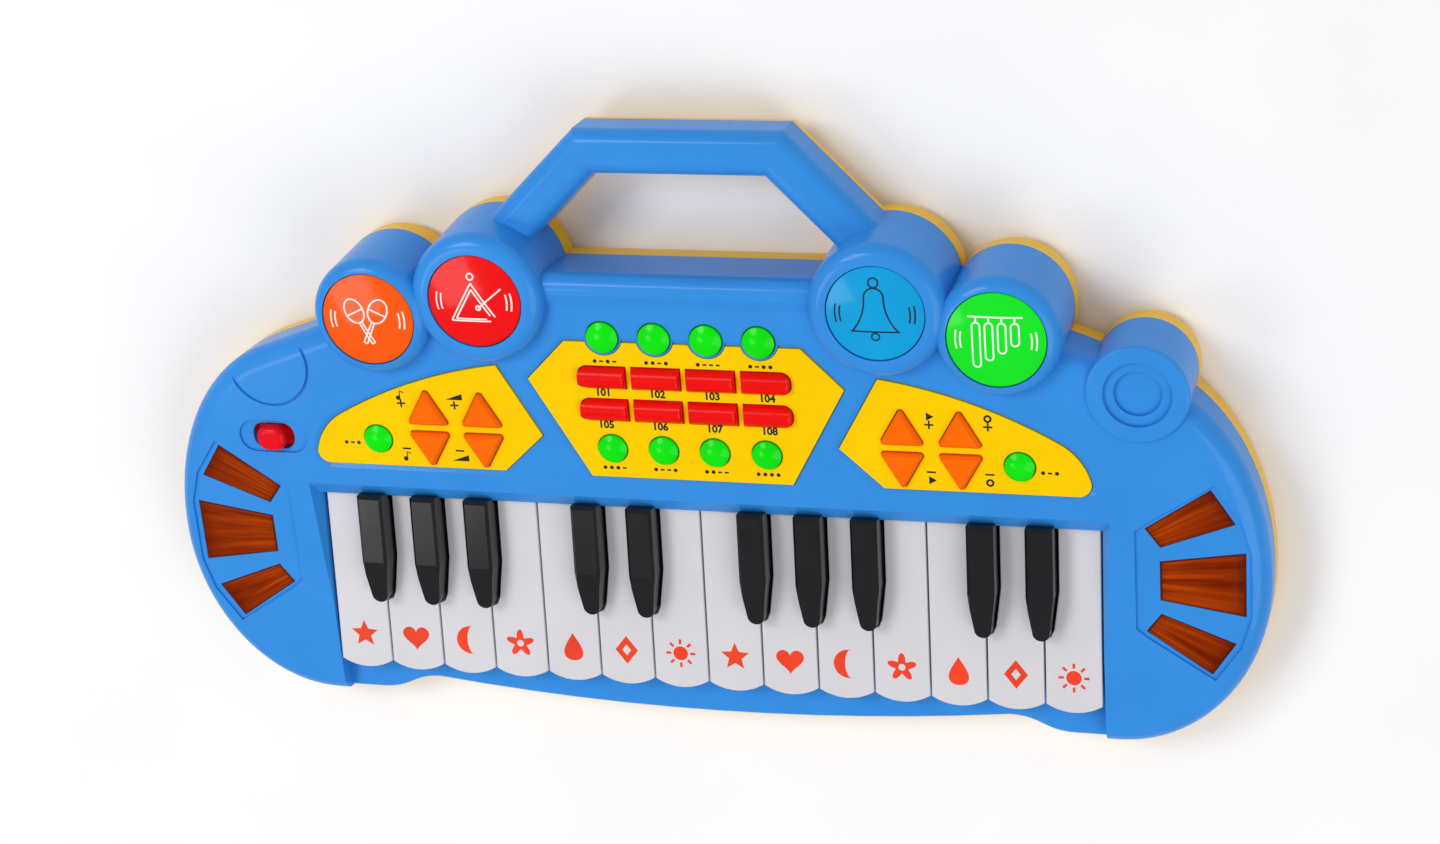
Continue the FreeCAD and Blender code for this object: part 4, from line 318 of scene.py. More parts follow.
class Finish(Enum):
    """The finishes of the toy."""

    CASE_BLUE = Plastic("sky_blue_shell", "#338de0", mottle=0.035, peel=0.0, gloss=0.06, coat=0.26,
                        wear=0.05)
    CASE_YELLOW = Plastic("yellow_shell", "#f4be08", mottle=0.025, peel=0.0, gloss=0.2, coat=0.05, wear=0.05)
    PLATE = Plastic("yellow_plate", "#fbcb00", roughness=0.45, mottle=0.03, gloss=0.04)
    WHITE = Plastic("white_key", "#d6d4d9", roughness=0.3, mottle=0.02, peel=0.0, subsurface=0.05, wear=0.05)
    BLACK = Plastic("black_key", "#171619", roughness=0.2, mottle=0.1, peel=0.02, gloss=0.2, coat=0.1)
    PAD_ORANGE = Polished("orange_pad", "#fb5a02")
    PAD_RED = Polished("red_pad", "#f00509")
    PAD_BLUE = Polished("blue_pad", "#049fdb")
    PAD_GREEN = Polished("green_pad", "#0ce322")
    RED = Plastic("red_bar", "#ee0602", peel=0.02, gloss=0.06, coat=0.15)
    ORANGE = Plastic("orange_triangle", "#fd6a02", roughness=0.42, gloss=0.05)
    GREEN = Plastic("green_dome", "#04e606", roughness=0.26, peel=0.03, gloss=0.06, coat=0.2, subsurface=0.1)
    KNOB = Plastic("red_knob", "#ea0415", gloss=0.06, coat=0.15)
    AMBER = Plastic("amber_window", "#6c1a00", roughness=0.34, mottle=0.15, gloss=0.05)
    # Dark amber with lighter streaks that are painted highlights, not a tint of the plastic.
    AMBER_RIBS = HighlightStreaked("amber_ribs", "#701b00", "#c04800")
    CELL = Plastic("cell_wrap", "#2a2a2e", roughness=0.35)
    CONTACT = Plastic("nickel_contact", "#c8c6c0", roughness=0.3, metallic=1.0)
    SPEAKER = Plastic("speaker_frame", "#232323", roughness=0.5)
    BOARD = Plastic("board_laminate", "#1d5a30", roughness=0.5, mottle=0.12)
    RUBBER = Plastic("grey_rubber", "#8e8e90", roughness=0.7, peel=0.2)
    SCREW = Plastic("zinc_screw", "#b4b4b6", roughness=0.34, metallic=1.0)
    INK_RED = Plastic("red_ink", "#ee3d14", roughness=0.45, mottle=0.12, gloss=0.3)
    INK_DARK = Plastic("dark_ink", "#191714", roughness=0.5, mottle=0.1, gloss=0.3)
    INK_WHITE = Plastic("white_ink", "#efedea", roughness=0.45, mottle=0.04, gloss=0.3)
    INK_NAVY = Plastic("navy_ink", "#0c2238", roughness=0.45, mottle=0.08, gloss=0.3)


def mesh_object(name: str, corners: np.ndarray, faces: Sequence[Sequence[int]],
                finish: Finish) -> bpy.types.Object:
    """Make a closed mesh object, with doubles joined and faces turned out.

    Args:
        name: Name of the piece.
        corners: Points as rows, in metres.
        faces: Corner numbers of each face.
        finish: Finish of the piece.

    Returns:
        The linked object, at the origin.
    """
    mesh = bpy.data.meshes.new(name)
    mesh.from_pydata(corners.tolist(), [], faces)
    work = bmesh.new()
    work.from_mesh(mesh)
    bmesh.ops.remove_doubles(work, verts=work.verts, dist=1e-7)
    bmesh.ops.recalc_face_normals(work, faces=work.faces)
    work.to_mesh(mesh)
    work.free()
    mesh.materials.append(finish.value.material())
    piece = bpy.data.objects.new(name, mesh)
    bpy.context.scene.collection.objects.link(piece)
    return piece


@dataclass(frozen=True)
class Deck:
    """The sloping deck, with places u along X, v up the slope and w square to it, in metres."""

    tilt: float = math.radians(5.7)
    line_y: float = -14.6 * MM
    line_z: float = 27.0 * MM

    def place(self, u: np.ndarray, v: np.ndarray, w: np.ndarray | float) -> np.ndarray:
        """Turn places on the deck into X, Y and Z.

        Args:
            u: Distances along X.
            v: Distances up the slope.
            w: Heights over the deck.

        Returns:
            Points as rows.
        """
        up, across = math.cos(self.tilt), math.sin(self.tilt)
        height = np.broadcast_to(w, np.shape(u))
        return np.column_stack((u, self.line_y + v * up - height * across,
                                self.line_z + v * across + height * up))

    def lay(self, u: float, v: float) -> Lay:
        """Give a function that lays flat drawings on the deck around a place.

        Args:
            u: Middle of the drawing along X.
            v: Middle of the drawing up the slope.

        Returns:
            Function of drawn points and a height.
        """
        return lambda points, height: self.place(points[:, 0] + u, points[:, 1] + v, height)

    def spot(self, node: str) -> tuple[float, float]:
        """Find where a node stands on the deck.

        Args:
            node: Name of a CAD node.

        Returns:
            Its middle as u and v.
        """
        low, high = (np.array(corner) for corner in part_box(node))
        x, y, z = (low + high) / 2.0
        v = (y - self.line_y) * math.cos(self.tilt) + (z - self.line_z) * math.sin(self.tilt)
        return float(x), float(v)


DECK = Deck()


@dataclass
class Print:
    """A thin layer of ink: slabs between pairs of curves, laid on a surface."""

    name: str
    body: str
    finish: Finish
    lift: float = 0.04 * MM
    sink: float = 0.08 * MM
    step: float = 0.5 * MM
    corners: list[np.ndarray] = field(default_factory=list)
    faces: list[np.ndarray] = field(default_factory=list)

    def slab(self, first: Curve, second: Curve, lay: Lay, closed: bool) -> None:
        """Add the sheet between two curves with equal numbers of points.

        The four rows first-top, second-top, second-bottom and first-bottom make a grid that is
        closed around its section, and along the curves too if they are loops.

        Args:
            first: One edge of the sheet.
            second: The other edge.
            lay: Puts drawn points at a height over the surface.
            closed: Whether the curves are loops.
        """
        count = len(first)
        base = sum(len(block) for block in self.corners)
        rows = [lay(curve, height) for curve, height in
                ((first, self.lift), (second, self.lift), (second, -self.sink), (first, -self.sink))]
        along = np.arange(count if closed else count - 1)
        ahead = (along + 1) % count
        row = np.arange(4)[:, None] * count
        other = np.roll(np.arange(4), -1)[:, None] * count
        quads = np.stack((row + along, row + ahead, other + ahead, other + along), axis=-1).reshape(-1, 4)
        if not closed:
            ends = np.arange(4) * count
            quads = np.vstack((quads, ends[None, :], ends[None, ::-1] + count - 1))
        self.corners.append(np.vstack(rows))
        self.faces.append(quads + base)

    def patch(self, outline: Curve, lay: Lay, middle: tuple[float, float] = (0.0, 0.0)) -> None:
        """Fill an outline that can be seen whole from its middle.

        Args:
            outline: Loop of points.
            lay: Puts drawn points at a height over the surface.
            middle: Point that all the outline faces.
        """
        self.slab(outline, np.broadcast_to(middle, outline.shape), lay, True)

    def stroke(self, path: Curve, width: float, lay: Lay, closed: bool = False) -> None:
        """Draw a line of even width: the path, in short steps, moved half its width to each side.

        Args:
            path: Points of the middle line.
            width: Width of the line.
            lay: Puts drawn points at a height over the surface.
            closed: Whether the path is a loop.
        """
        fine = self.short_steps(np.vstack((path, path[:1])) if closed else path)
        if closed:
            fine = fine[:-1]
            ahead = np.roll(fine, -1, axis=0) - np.roll(fine, 1, axis=0)
        else:
            ahead = np.gradient(fine, axis=0)
        side = np.column_stack((-ahead[:, 1], ahead[:, 0])) / np.linalg.norm(ahead, axis=1)[:, None]
        self.slab(fine + side * width / 2, fine - side * width / 2, lay, closed)

    def short_steps(self, path: Curve) -> Curve:
        """Place even points along a path.

        Args:
            path: Corners of the path.

        Returns:
            Points no farther apart than the print's step.
        """
        lengths = np.linalg.norm(np.diff(path, axis=0), axis=1)
        reach = np.concatenate(([0.0], np.cumsum(lengths)))
        even = np.linspace(0.0, reach[-1], max(3, int(reach[-1] / self.step) + 2))
        return np.column_stack([np.interp(even, reach, path[:, axis]) for axis in (0, 1)])

    def build(self) -> bpy.types.Object:
        """Make the mesh object and put it on its body.

        Returns:
            The piece.
        """
        piece = mesh_object(self.name, np.vstack(self.corners), np.vstack(self.faces).tolist(), self.finish)
        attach(piece, self.body)
        LOG.info("%s: %d faces on %s", self.name, len(piece.data.polygons), self.body)
        return piece


def circle(radius: float, centre: tuple[float, float] = (0.0, 0.0), count: int = 40) -> Curve:
    """Draw a circle, (r cos a, r sin a) around its centre.

    Args:
        radius: Radius.
        centre: Centre.
        count: Number of points.

    Returns:
        Loop of points.
    """
    angle = np.linspace(0.0, 2 * math.pi, count, endpoint=False)
    return np.column_stack((np.cos(angle), np.sin(angle))) * radius + np.array(centre)


def arc(radius: float, first: float, last: float, centre: tuple[float, float], count: int = 24) -> Curve:
    """Draw an arc between two angles.

    Args:
        radius: Radius.
        first: Angle of the first point in degrees.
        last: Angle of the last point in degrees.
        centre: Centre.
        count: Number of points.

    Returns:
        Points of the arc.
    """
    angle = np.radians(np.linspace(first, last, count))
    return np.column_stack((np.cos(angle), np.sin(angle))) * radius + np.array(centre)


def polygon(sides: int, radius: float, turn: float = 90.0) -> Curve:
    """Draw a regular polygon.

    Args:
        sides: Number of corners.
        radius: Distance of the corners.
        turn: Angle of the first corner in degrees.

    Returns:
        Loop of corners.
    """
    return arc(radius, turn, turn + 360.0 * (sides - 1) / sides, (0.0, 0.0), sides)


def turned(points: Curve, angle: float) -> Curve:
    """Turn a drawing around the origin.

    Args:
        points: The drawing.
        angle: Angle in degrees.

    Returns:
        The turned drawing.
    """
    c, s = math.cos(math.radians(angle)), math.sin(math.radians(angle))
    return points @ np.array(((c, s), (-s, c)))


@dataclass(frozen=True)
class SubAssembly:
    """A group of CAD nodes with finishes, and the pieces added to it."""

    finishes: ClassVar[dict[str, Finish]] = {}

    def dress(self) -> None:
        """Give the nodes of this group's material slots their finishes."""
        for part in frame["record"]["subparts"]:
            finish = self.finishes.get(part["material_slot"])
            if finish is None:
                continue
            materials = frame["nodes"][part["node"]].data.materials
            materials.clear()
            materials.append(finish.value.material())
            LOG.info("%s: %s", part["node"], finish.value.name)

    def build(self) -> None:
        """Add the group's own pieces; a plain group has none."""


class Case(SubAssembly):
    """The two shells, the panel plates and what is inside."""

    finishes = {
        "case_blue": Finish.CASE_BLUE, "case_yellow": Finish.CASE_YELLOW, "plate_yellow": Finish.PLATE,
        "cell_wrap": Finish.CELL, "contact_steel": Finish.CONTACT, "speaker_black": Finish.SPEAKER,
        "board_green": Finish.BOARD, "mat_rubber": Finish.RUBBER, "screw_steel": Finish.SCREW,
    }


class Motif(Enum):
    """Small pictures on the white keys."""

    STAR = "star"
    HEART = "heart"
    MOON = "moon"
    FLOWER = "flower"
    DROP = "drop"
    DIAMOND = "diamond"
    SUN = "sun"


@dataclass(frozen=True)
class Keyboard(SubAssembly):
    """The keys, with one small red picture near the tip of every white key."""

    finishes = {"key_white": Finish.WHITE, "key_black": Finish.BLACK}
    picture_y: float = -74.1 * MM
    reach: float = 4.8 * MM

    def build(self) -> None:
        """Print a picture on each white key, in the order of the motifs."""
        motifs = list(Motif)
        keys = sorted(name for name in frame["nodes"] if name.startswith("white_key"))
        for number, key in enumerate(keys):
            low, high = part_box(key)
            ink = Print(f"{key}_picture", key, Finish.INK_RED)
            self.draw(ink, motifs[number % len(motifs)], self.on_key((low[0] + high[0]) / 2, high[2]))
            ink.build()

    def on_key(self, x: float, z: float) -> Lay:
        """Give a function that lays a drawing on a key's top.

        Args:
            x: Middle of the key.
            z: Height of its top.

        Returns:
            Function of drawn points and a height.
        """
        return lambda points, height: np.column_stack(
            (points[:, 0] + x, points[:, 1] + self.picture_y, np.full(len(points), z + height)))

    def draw(self, ink: Print, motif: Motif, lay: Lay) -> None:
        """Draw one motif from its formula.

        Args:
            ink: Print that takes the drawing.
            motif: Which picture.
            lay: Puts drawn points on the key.
        """
        size = self.reach
        angle = np.linspace(0.0, 2 * math.pi, 60, endpoint=False)
        clock = np.column_stack((np.sin(angle), np.cos(angle)))
        if motif is Motif.STAR:
            reach = np.where(np.arange(10) % 2 == 0, 1.0, 0.45)[:, None]
            ink.patch(polygon(10, size) * reach, lay)
        elif motif is Motif.HEART:
            x = 16 * np.sin(angle) ** 3
            y = 13 * np.cos(angle) - 5 * np.cos(2 * angle) - 2 * np.cos(3 * angle) - np.cos(4 * angle)
            ink.patch(np.column_stack((x, y)) * size / 17.0, lay, (0.0, -size * 0.1))
        elif motif is Motif.MOON:
            outer = arc(size, 75.0, 285.0, (size * 0.2, 0.0), 40)
            hollow = np.column_stack((outer[:, 0] * 0.4 + outer[0, 0] * 0.6, outer[:, 1]))
            ink.slab(outer, hollow, lay, False)
        elif motif is Motif.FLOWER:
            petals = (0.72 + 0.28 * np.cos(5 * angle))[:, None]
            ink.slab(clock * petals * size, clock * size * 0.24, lay, True)
        elif motif is Motif.DROP:
            width = 0.95 * np.abs(np.sin(angle / 2)) ** 1.5
            ink.patch(clock * np.column_stack((width, np.ones(60))) * size, lay, (0.0, -size * 0.3))
        elif motif is Motif.DIAMOND:
            rhomb = polygon(4, size) * np.array((0.78, 1.0))
            ink.slab(rhomb, rhomb * 0.4, lay, True)
        else:
            ink.patch(circle(size * 0.5), lay)
            for ray in polygon(8, size):
                ink.stroke(np.array((ray * 0.66, ray)), size * 0.17, lay)


class PadPicture(Enum):
    """Line pictures on the drum pads: the node that carries each, and its ink."""

    SHAKERS = ("drum_pad_orange", Finish.INK_WHITE)
    TRIANGLE = ("drum_pad_red", Finish.INK_WHITE)
    BELL = ("drum_pad_blue", Finish.INK_NAVY)
    CHIMES = ("drum_pad_green", Finish.INK_WHITE)


@dataclass(frozen=True)
class DrumPads(SubAssembly):
    """The domed pads, with simple line pictures of instruments."""

    finishes = {"drum_pad_orange": Finish.PAD_ORANGE, "drum_pad_red": Finish.PAD_RED,
                "drum_pad_blue": Finish.PAD_BLUE, "drum_pad_green": Finish.PAD_GREEN}
    radius: float = 14.8 * MM
    edge: float = 5.6 * MM
    crown: float = 1.3 * MM
    line: float = 0.5 * MM

    def build(self) -> None:
        """Draw each pad's picture."""
        for picture in PadPicture:
            pad, finish = picture.value
            ink = Print(f"{pad}_picture", pad, finish)
            self.draw(ink, picture, self.on_pad(pad))
            ink.build()

    def on_pad(self, node: str) -> Lay:
        """Give a function that lays a drawing on a pad's dome.

        The dome is a sphere cap: its height over the edge is the crown minus R - sqrt(R^2 - r^2),
        with R from the pad's radius and crown.

        Args:
            node: Name of the pad.

        Returns:
            Function of drawn points and a height.
        """
        u, v = DECK.spot(node)
        sphere = (self.radius ** 2 + self.crown ** 2) / (2 * self.crown)

        def lay(points: Curve, height: float) -> np.ndarray:
            """Lay drawn points on the dome.

            Args:
                points: The drawing.
                height: Height over the surface.

            Returns:
                Points as rows.
            """
            fall = sphere - np.sqrt(sphere ** 2 - (points ** 2).sum(axis=1))
            return DECK.place(points[:, 0] + u, points[:, 1] + v, self.edge + self.crown - fall + height)
        return lay

    def draw(self, ink: Print, picture: PadPicture, lay: Lay) -> None:
        """Draw one picture and two sound waves beside it.

        Args:
            ink: Print that takes the strokes.
            picture: Which picture.
            lay: Puts drawn points on the dome.
        """
        strokes = {PadPicture.SHAKERS: self.shakers, PadPicture.TRIANGLE: self.triangle,
                   PadPicture.BELL: self.bell, PadPicture.CHIMES: self.chimes}[picture]()
        for path, closed in strokes:
            ink.stroke(path * self.radius, self.line, lay, closed)
        for reach in (0.72, 0.82):
            for side in (0.0, 180.0):
                ink.stroke(arc(reach * self.radius, side - 14.0, side + 14.0, (0.0, 0.0)), self.line, lay)

    def shakers(self) -> list[tuple[Curve, bool]]:
        """Draw two crossed shakers: an oval with a band, and a handle.

        Returns:
            Paths in shares of the pad's radius, each with whether it is a loop.
        """
        strokes = []
        for side in (-1, 1):
            shift = np.array((side * 0.26, 0.2))
            oval = circle(0.24) * np.array((0.85, 1.15))
            band = np.array(((-0.2, -0.03), (0.2, -0.03)))
            handle = np.array(((-0.03, -0.27), (-0.04, -0.8), (0.04, -0.8), (0.03, -0.27)))
            for path, closed in ((oval, True), (band, False), (handle, False)):
                strokes.append((turned(path, -26.0 * side) + shift, closed))
        return strokes

    def triangle(self) -> list[tuple[Curve, bool]]:
        """Draw a bent rod with its beater and string.

        Returns:
            Paths in shares of the pad's radius, each with whether it is a loop.
        """
        rod = np.array(((0.34, -0.42), (-0.52, -0.42), (-0.02, 0.42), (0.44, -0.32)))
        beater = np.array(((0.1, -0.12), (0.62, 0.3)))
        return [(rod, False), (rod * 0.78 + np.array((-0.005, -0.045)), False), (beater, False),
                (circle(0.05, (0.1, -0.12)), True), (circle(0.07, (-0.02, 0.56)), True)]

    def bell(self) -> list[tuple[Curve, bool]]:
        """Draw a handbell: a flared side is x = 0.2 + 0.26 t^2.2 while y falls with t.

        Returns:
            Paths in shares of the pad's radius, each with whether it is a loop.
        """
        t = np.linspace(0.0, 1.0, 30)
        flare = np.column_stack((0.2 + 0.26 * t ** 2.2, 0.36 - 0.72 * t))
        mirror = flare * np.array((-1.0, 1.0))
        rim = np.array(((-0.5, -0.37), (0.5, -0.37)))
        return [(flare, False), (mirror, False), (arc(0.2, 0.0, 180.0, (0.0, 0.36)), False), (rim, False),
                (circle(0.08, (0.0, -0.48)), True), (circle(0.1, (0.0, 0.67)), True)]

    def chimes(self) -> list[tuple[Curve, bool]]:
        """Draw four upright tubes that get shorter, hung from a bar.

        Returns:
            Paths in shares of the pad's radius, each with whether it is a loop.
        """
        strokes = [(np.array(((-0.55, 0.5), (0.55, 0.5))), False)]
        for index in range(4):
            x = -0.39 + 0.26 * index
            low = -0.5 + 0.16 * index
            tube = np.vstack((arc(0.08, 0.0, 180.0, (x, 0.3)), arc(0.08, 180.0, 360.0, (x, low))))
            strokes += [(tube, True), (np.array(((x, 0.5), (x, 0.38))), False)]
        return strokes


class Sign(Enum):
    """Plain marks beside the buttons."""

    PLUS = "plus"
    MINUS = "minus"
    WEDGE = "wedge"
    NOTE = "note"
    DISC = "disc"
    PLAY = "play"


@dataclass(frozen=True)
class Panel(SubAssembly):
    """The buttons and switch, with plain dark marks: numbers, rhythm rows and signs."""

    finishes = {"button_red": Finish.RED, "button_orange": Finish.ORANGE, "button_green": Finish.GREEN,
                "knob_red": Finish.KNOB}
    digit: float = 3.4 * MM
    bold: float = 0.12 * MM
    first_number: int = 101
    bars: int = 4
    bar_pitch: float = 17.4 * MM
    bar_drop: float = 5.45 * MM
    dot: float = 0.62 * MM
    beat: float = 2.1 * MM
    upper_drop: float = 8.3 * MM
    lower_drop: float = 6.9 * MM
    line: float = 0.55 * MM
    arm: float = 1.4 * MM
    beside: float = 8.6 * MM
    picture_up: float = 3.6 * MM
    sign_up: float = 0.9 * MM
    side_row: tuple[float, float] = (9.03 * MM, 2.0 * MM)
    number_thick: float = 0.06 * MM
    number_sink: float = 0.02 * MM
    rhythms: tuple[str, ...] = ("x-x-", "xx-x", "x---", "x-xx", "xxx-", "x--x", "xx--", "xxxx")

    def build(self) -> None:
        """Draw the marks of the three plates as one print, and every number as a mesh."""
        ink = Print("panel_signs", CASE, Finish.INK_DARK)
        for index in range(self.bars):
            for row, drop in (("upper", self.upper_drop), ("lower", self.lower_drop)):
                u, v = DECK.spot(f"green_button_{row}_{index + 1}")
                pattern = self.rhythms[index + (self.bars if row == "lower" else 0)]
                self.rhythm(ink, pattern, DECK.lay(u, v - drop))
        left, right = (Sign.WEDGE, Sign.NOTE), (Sign.DISC, Sign.PLAY)
        for side, sign, pictures in (("left", -1, left), ("right", 1, right)):
            for number in range(1, 5):
                u, v = DECK.spot(f"triangle_button_{side}_{number}")
                up = 1 if number <= 2 else -1
                place = u + sign * self.beside
                self.sign(ink, pictures[number % 2], DECK.lay(place, v + up * self.picture_up))
                change = Sign.PLUS if up > 0 else Sign.MINUS
                self.sign(ink, change, DECK.lay(place, v + up * self.sign_up))
            u, v = DECK.spot(f"green_button_{side}")
            out, drop = self.side_row
            self.rhythm(ink, "x-x", DECK.lay(u + sign * out, v - drop))
        ink.build()
        self.numbers()

    def rhythm(self, ink: Print, pattern: str, lay: Lay) -> None:
        """Draw a row of beats: a dot for each x and a dash for each rest.

        Args:
            ink: Print that takes the row.
            pattern: The beats.
            lay: Puts drawn points on the plate.
        """
        start = -self.beat * (len(pattern) - 1) / 2
        for index, beat in enumerate(pattern):
            x = start + self.beat * index
            if beat == "x":
                ink.patch(circle(self.dot, (x, 0.0), 20), lay, (x, 0.0))
            else:
                ink.stroke(np.array(((x - self.dot, 0.0), (x + self.dot, 0.0))), self.line, lay)

    def sign(self, ink: Print, sign: Sign, lay: Lay) -> None:
        """Draw one sign.

        Args:
            ink: Print that takes the sign.
            sign: Which sign.
            lay: Puts drawn points on the plate.
        """
        arm = self.arm
        if sign in (Sign.PLUS, Sign.MINUS):
            ink.stroke(np.array(((-arm, 0.0), (arm, 0.0))), self.line, lay)
        if sign is Sign.PLUS:
            for way in (-1, 1):
                ink.stroke(np.array(((0.0, way * self.line / 2), (0.0, way * arm))), self.line, lay)
        elif sign is Sign.WEDGE:
            ink.patch(np.array(((-2.0, -0.6), (2.0, -0.6), (2.0, 0.9))) * arm, lay, (0.7 * arm, -0.1 * arm))
        elif sign is Sign.NOTE:
            head = (-0.5 * arm, -0.6 * arm)
            ink.patch(circle(0.55 * arm, head, 20), lay, head)
            ink.stroke(np.array(((-0.1, -0.6), (-0.1, 1.1), (0.9, 0.7))) * arm, self.line * 0.6, lay)
        elif sign is Sign.DISC:
            ink.slab(circle(arm * 0.9), circle(arm * 0.45), lay, True)
        elif sign is Sign.PLAY:
            ink.patch(polygon(3, arm * 1.1, 0.0), lay)

    def numbers(self) -> None:
        """Write a number under each red bar."""
        first = -self.bar_pitch * (self.bars - 1) / 2
        for row, start in (("upper", self.first_number), ("lower", self.first_number + self.bars)):
            _, v = DECK.spot(f"red_button_row_{row}")
            for index in range(self.bars):
                self.number(str(start + index), first + self.bar_pitch * index, v - self.bar_drop)

    def number(self, words: str, u: float, v: float) -> None:
        """Make one number as a thin mesh on the plate.

        Args:
            words: The number.
            u: Its middle along X.
            v: Its middle up the slope.
        """
        name = f"panel_number_{words}"
        curve = bpy.data.curves.new(name, "FONT")
        curve.body = words
        curve.size = self.digit
        curve.align_x = "CENTER"
        curve.align_y = "CENTER"
        curve.offset = self.bold
        curve.extrude = self.number_thick
        curve.resolution_u = 4
        holder = bpy.data.objects.new(f"{name}_outline", curve)
        mesh = bpy.data.meshes.new_from_object(holder)
        bpy.data.objects.remove(holder)
        points = np.empty(len(mesh.vertices) * 3)
        mesh.vertices.foreach_get("co", points)
        x, y, z = points.reshape(-1, 3).T
        faces = [list(face.vertices) for face in mesh.polygons]
        bpy.data.meshes.remove(mesh)
        placed = DECK.place(x + u, y + v, z - self.number_sink)
        piece = mesh_object(name, placed, faces, Finish.INK_DARK)
        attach(piece, CASE)
        LOG.info("%s: %d faces", name, len(faces))


@dataclass(frozen=True)
class LightWindows(SubAssembly):
    """The amber windows, with low ridges from end to end: a sine across each window."""

    finishes = {"window_amber": Finish.AMBER}
    axis_v: float = -24.9 * MM
    surface: float = -0.8 * MM
    lift: float = 0.03 * MM
    height: float = 0.14 * MM
    thick: float = 0.2 * MM
    margin: float = 0.02
    ribs: int = 4
    steps: int = 8
    columns: int = 6
    middle: tuple[tuple[float, float], ...] = ((144.1, -6.4), (169.4, -10.5), (169.4, 10.5), (144.1, 6.4))
    ray: tuple[tuple[float, float], ...] = ((144.2, 11.4), (166.3, 20.1), (159.3, 30.8), (139.8, 17.3))

    def build(self) -> None:
        """Make the ridges of all six windows as one piece."""
        outlines = [np.array(outline) * MM * np.array((side, flip)) for side in (-1, 1)
                    for outline, flip in ((self.middle, 1), (self.ray, 1), (self.ray, -1))]
        sheets = [self.sheet(outline) for outline in outlines]
        faces = [self.grid() + index * len(sheets[0]) for index in range(len(sheets))]
        # The ribs' colour holds painted highlight streaks as well as the amber tone.
        piece = mesh_object("window_ribs", np.vstack(sheets), np.vstack(faces).tolist(), Finish.AMBER_RIBS)
        grain = np.vstack([np.column_stack((self.grain(), np.full(len(sheets[0]), index)))
                           for index in range(len(sheets))])
        layer = piece.data.attributes.new(GRAIN, "FLOAT_VECTOR", "POINT")
        layer.data.foreach_set("vector", grain.astype(np.float32).ravel())
        piece.data.polygons.foreach_set("use_smooth", np.ones(len(piece.data.polygons), dtype=bool))
        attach(piece, CASE)
        LOG.info("window_ribs: %d faces", len(piece.data.polygons))

    def grain(self) -> np.ndarray:
        """Give each point of one window its share across and along.

        Returns:
            Shares as rows, for the top and then for the underside.
        """
        across = np.linspace(0.0, 1.0, self.ribs * self.steps + 1)
        along = np.linspace(0.0, 1.0, self.columns)
        one = np.stack(np.meshgrid(across, along, indexing="ij"), axis=-1).reshape(-1, 2)
        return np.vstack((one, one))

    def sheet(self, outline: np.ndarray) -> np.ndarray:
        """Points of one window's ridges, the top first and the flat underside after it.

        A point blends the four corners by its shares s across and t along the window, and its
        height is the ridge height times sin(pi n s) squared, for n ridges.

        Args:
            outline: Inner low, outer low, outer high and inner high corner.

        Returns:
            Points as rows.
        """
        inner_low, outer_low, outer_high, inner_high = outline
        shares = self.grain()[:len(self.grain()) // 2]
        wave = np.sin(math.pi * self.ribs * shares[:, 0]) ** 2
        s, t = (self.margin + shares * (1.0 - 2.0 * self.margin)).T[:, :, None]
        inner = inner_low * (1 - s) + inner_high * s
        outer = outer_low * (1 - s) + outer_high * s
        u, v = (inner * (1 - t) + outer * t).T
        top = DECK.place(u, v + self.axis_v, self.surface + self.lift + self.height * wave)
        return np.vstack((top, DECK.place(u, v + self.axis_v, self.surface - self.thick)))

    def grid(self) -> np.ndarray:
        """Faces of one window: both sheets and the strip around their edge.

        Returns:
            Corner numbers as rows.
        """
        rows = self.ribs * self.steps + 1
        below = rows * self.columns
        index = np.arange(below).reshape(rows, self.columns)
        quads = np.stack((index[:-1, :-1], index[1:, :-1], index[1:, 1:], index[:-1, 1:]), -1).reshape(-1, 4)
        rim = np.concatenate((index[:-1, 0], index[-1, :-1], index[:0:-1, -1], index[0, :0:-1]))
        ahead = np.roll(rim, -1)
        wall = np.stack((rim, ahead, ahead + below, rim + below), -1)
        return np.vstack((quads, quads[:, ::-1] + below, wall))


@dataclass(frozen=True)
class Lamp:
    """A square lamp: where it hangs, its side and its power."""

    name: str
    place: Triple
    size: float
    watts: float


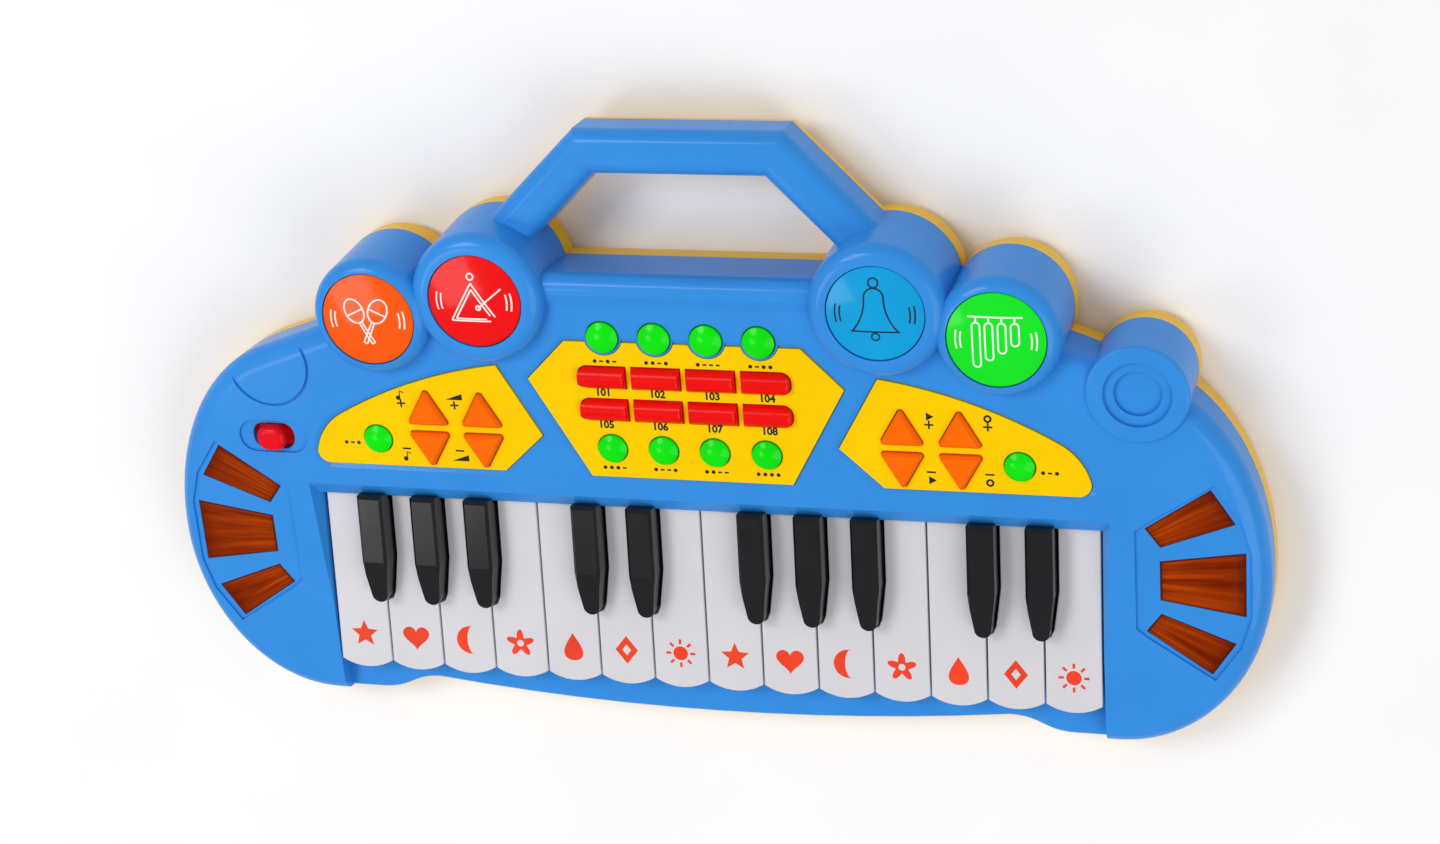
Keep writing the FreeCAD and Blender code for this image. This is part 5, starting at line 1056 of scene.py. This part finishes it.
@dataclass(frozen=True)
class Studio:
    """Pale floor, soft lamps and the camera."""

    lamps: tuple[Lamp, ...] = (Lamp("key_lamp", (-0.7, 0.6, 1.3), 0.6, 7.8),
                               Lamp("fill_lamp", (0.9, -0.5, 1.1), 1.0, 6.8),
                               Lamp("sheen_lamp", (-0.62, -0.28, 1.0), 0.4, 1.9))
    lens: float = 75.2
    sensor: float = 36.0
    eye: Triple = (0.2582, 0.3019, 0.8637)
    right: Triple = (0.9622, -0.0505, -0.2677)
    above: Triple = (-0.0400, 0.9459, -0.3220)
    back: Triple = (0.2695, 0.3205, 0.9081)
    floor_half: float = 3.0
    floor_cells: float = 14.0
    floor_tones: tuple[str, str] = ("#f8f8f9", "#fbfbfb")
    sky: float = 0.5

    def build(self) -> None:
        """Make the floor, the lamps, the surrounding light and the camera."""
        self.floor()
        for lamp in self.lamps:
            self.hang(lamp)
        self.world()
        self.camera()
        bpy.context.scene.view_settings.view_transform = "Standard"

    def floor(self) -> None:
        """Lay a wide pale floor under the feet."""
        half = self.floor_half
        mesh = bpy.data.meshes.new("floor")
        corners = [(-half, -half, 0.0), (half, -half, 0.0), (half, half, 0.0), (-half, half, 0.0)]
        mesh.from_pydata(corners, [], [(0, 1, 2, 3)])
        graph = Graph("pale_floor")
        clouds = graph.spread(graph.noise(self.floor_cells, 3.0), 0.0, 1.0)
        graph.tint(clouds, *(linear(tone) for tone in self.floor_tones))
        graph.set(roughness=0.8, specular_ior_level=0.1)
        mesh.materials.append(graph.material)
        floor = bpy.data.objects.new("floor", mesh)
        bpy.context.scene.collection.objects.link(floor)

    def hang(self, lamp: Lamp) -> None:
        """Hang a lamp so that it faces the toy.

        Args:
            lamp: The lamp.
        """
        light = bpy.data.lights.new(lamp.name, "AREA")
        light.size = lamp.size
        light.energy = lamp.watts
        holder = bpy.data.objects.new(lamp.name, light)
        holder.location = lamp.place
        holder.rotation_euler = (-Vector(lamp.place)).to_track_quat("-Z", "Y").to_euler()
        bpy.context.scene.collection.objects.link(holder)

    def world(self) -> None:
        """Surround the scene with even light."""
        world = bpy.data.worlds.new("studio")
        world.use_nodes = True
        sky = world.node_tree.nodes["Background"]
        sky.inputs["Color"].default_value = (1.0, 1.0, 1.0, 1.0)
        sky.inputs["Strength"].default_value = self.sky
        bpy.context.scene.world = world

    def camera(self) -> None:
        """Stand the camera behind and above the right end, as in the photograph."""
        data = bpy.data.cameras.new("camera")
        data.lens = self.lens
        data.sensor_width = self.sensor
        camera = bpy.data.objects.new("camera", data)
        turn = Matrix((self.right, self.above, self.back)).transposed()
        camera.matrix_world = Matrix.Translation(self.eye) @ turn.to_4x4()
        bpy.context.scene.collection.objects.link(camera)
        bpy.context.scene.camera = camera


def main() -> None:
    """Dress the solids, add the prints and ribs, and set up the studio."""
    logging.basicConfig(level=logging.INFO, format="%(message)s")
    for group in (Case(), Keyboard(), DrumPads(), Panel(), LightWindows()):
        group.dress()
        group.build()
    Studio().build()


if __name__ == "__main__":
    main()
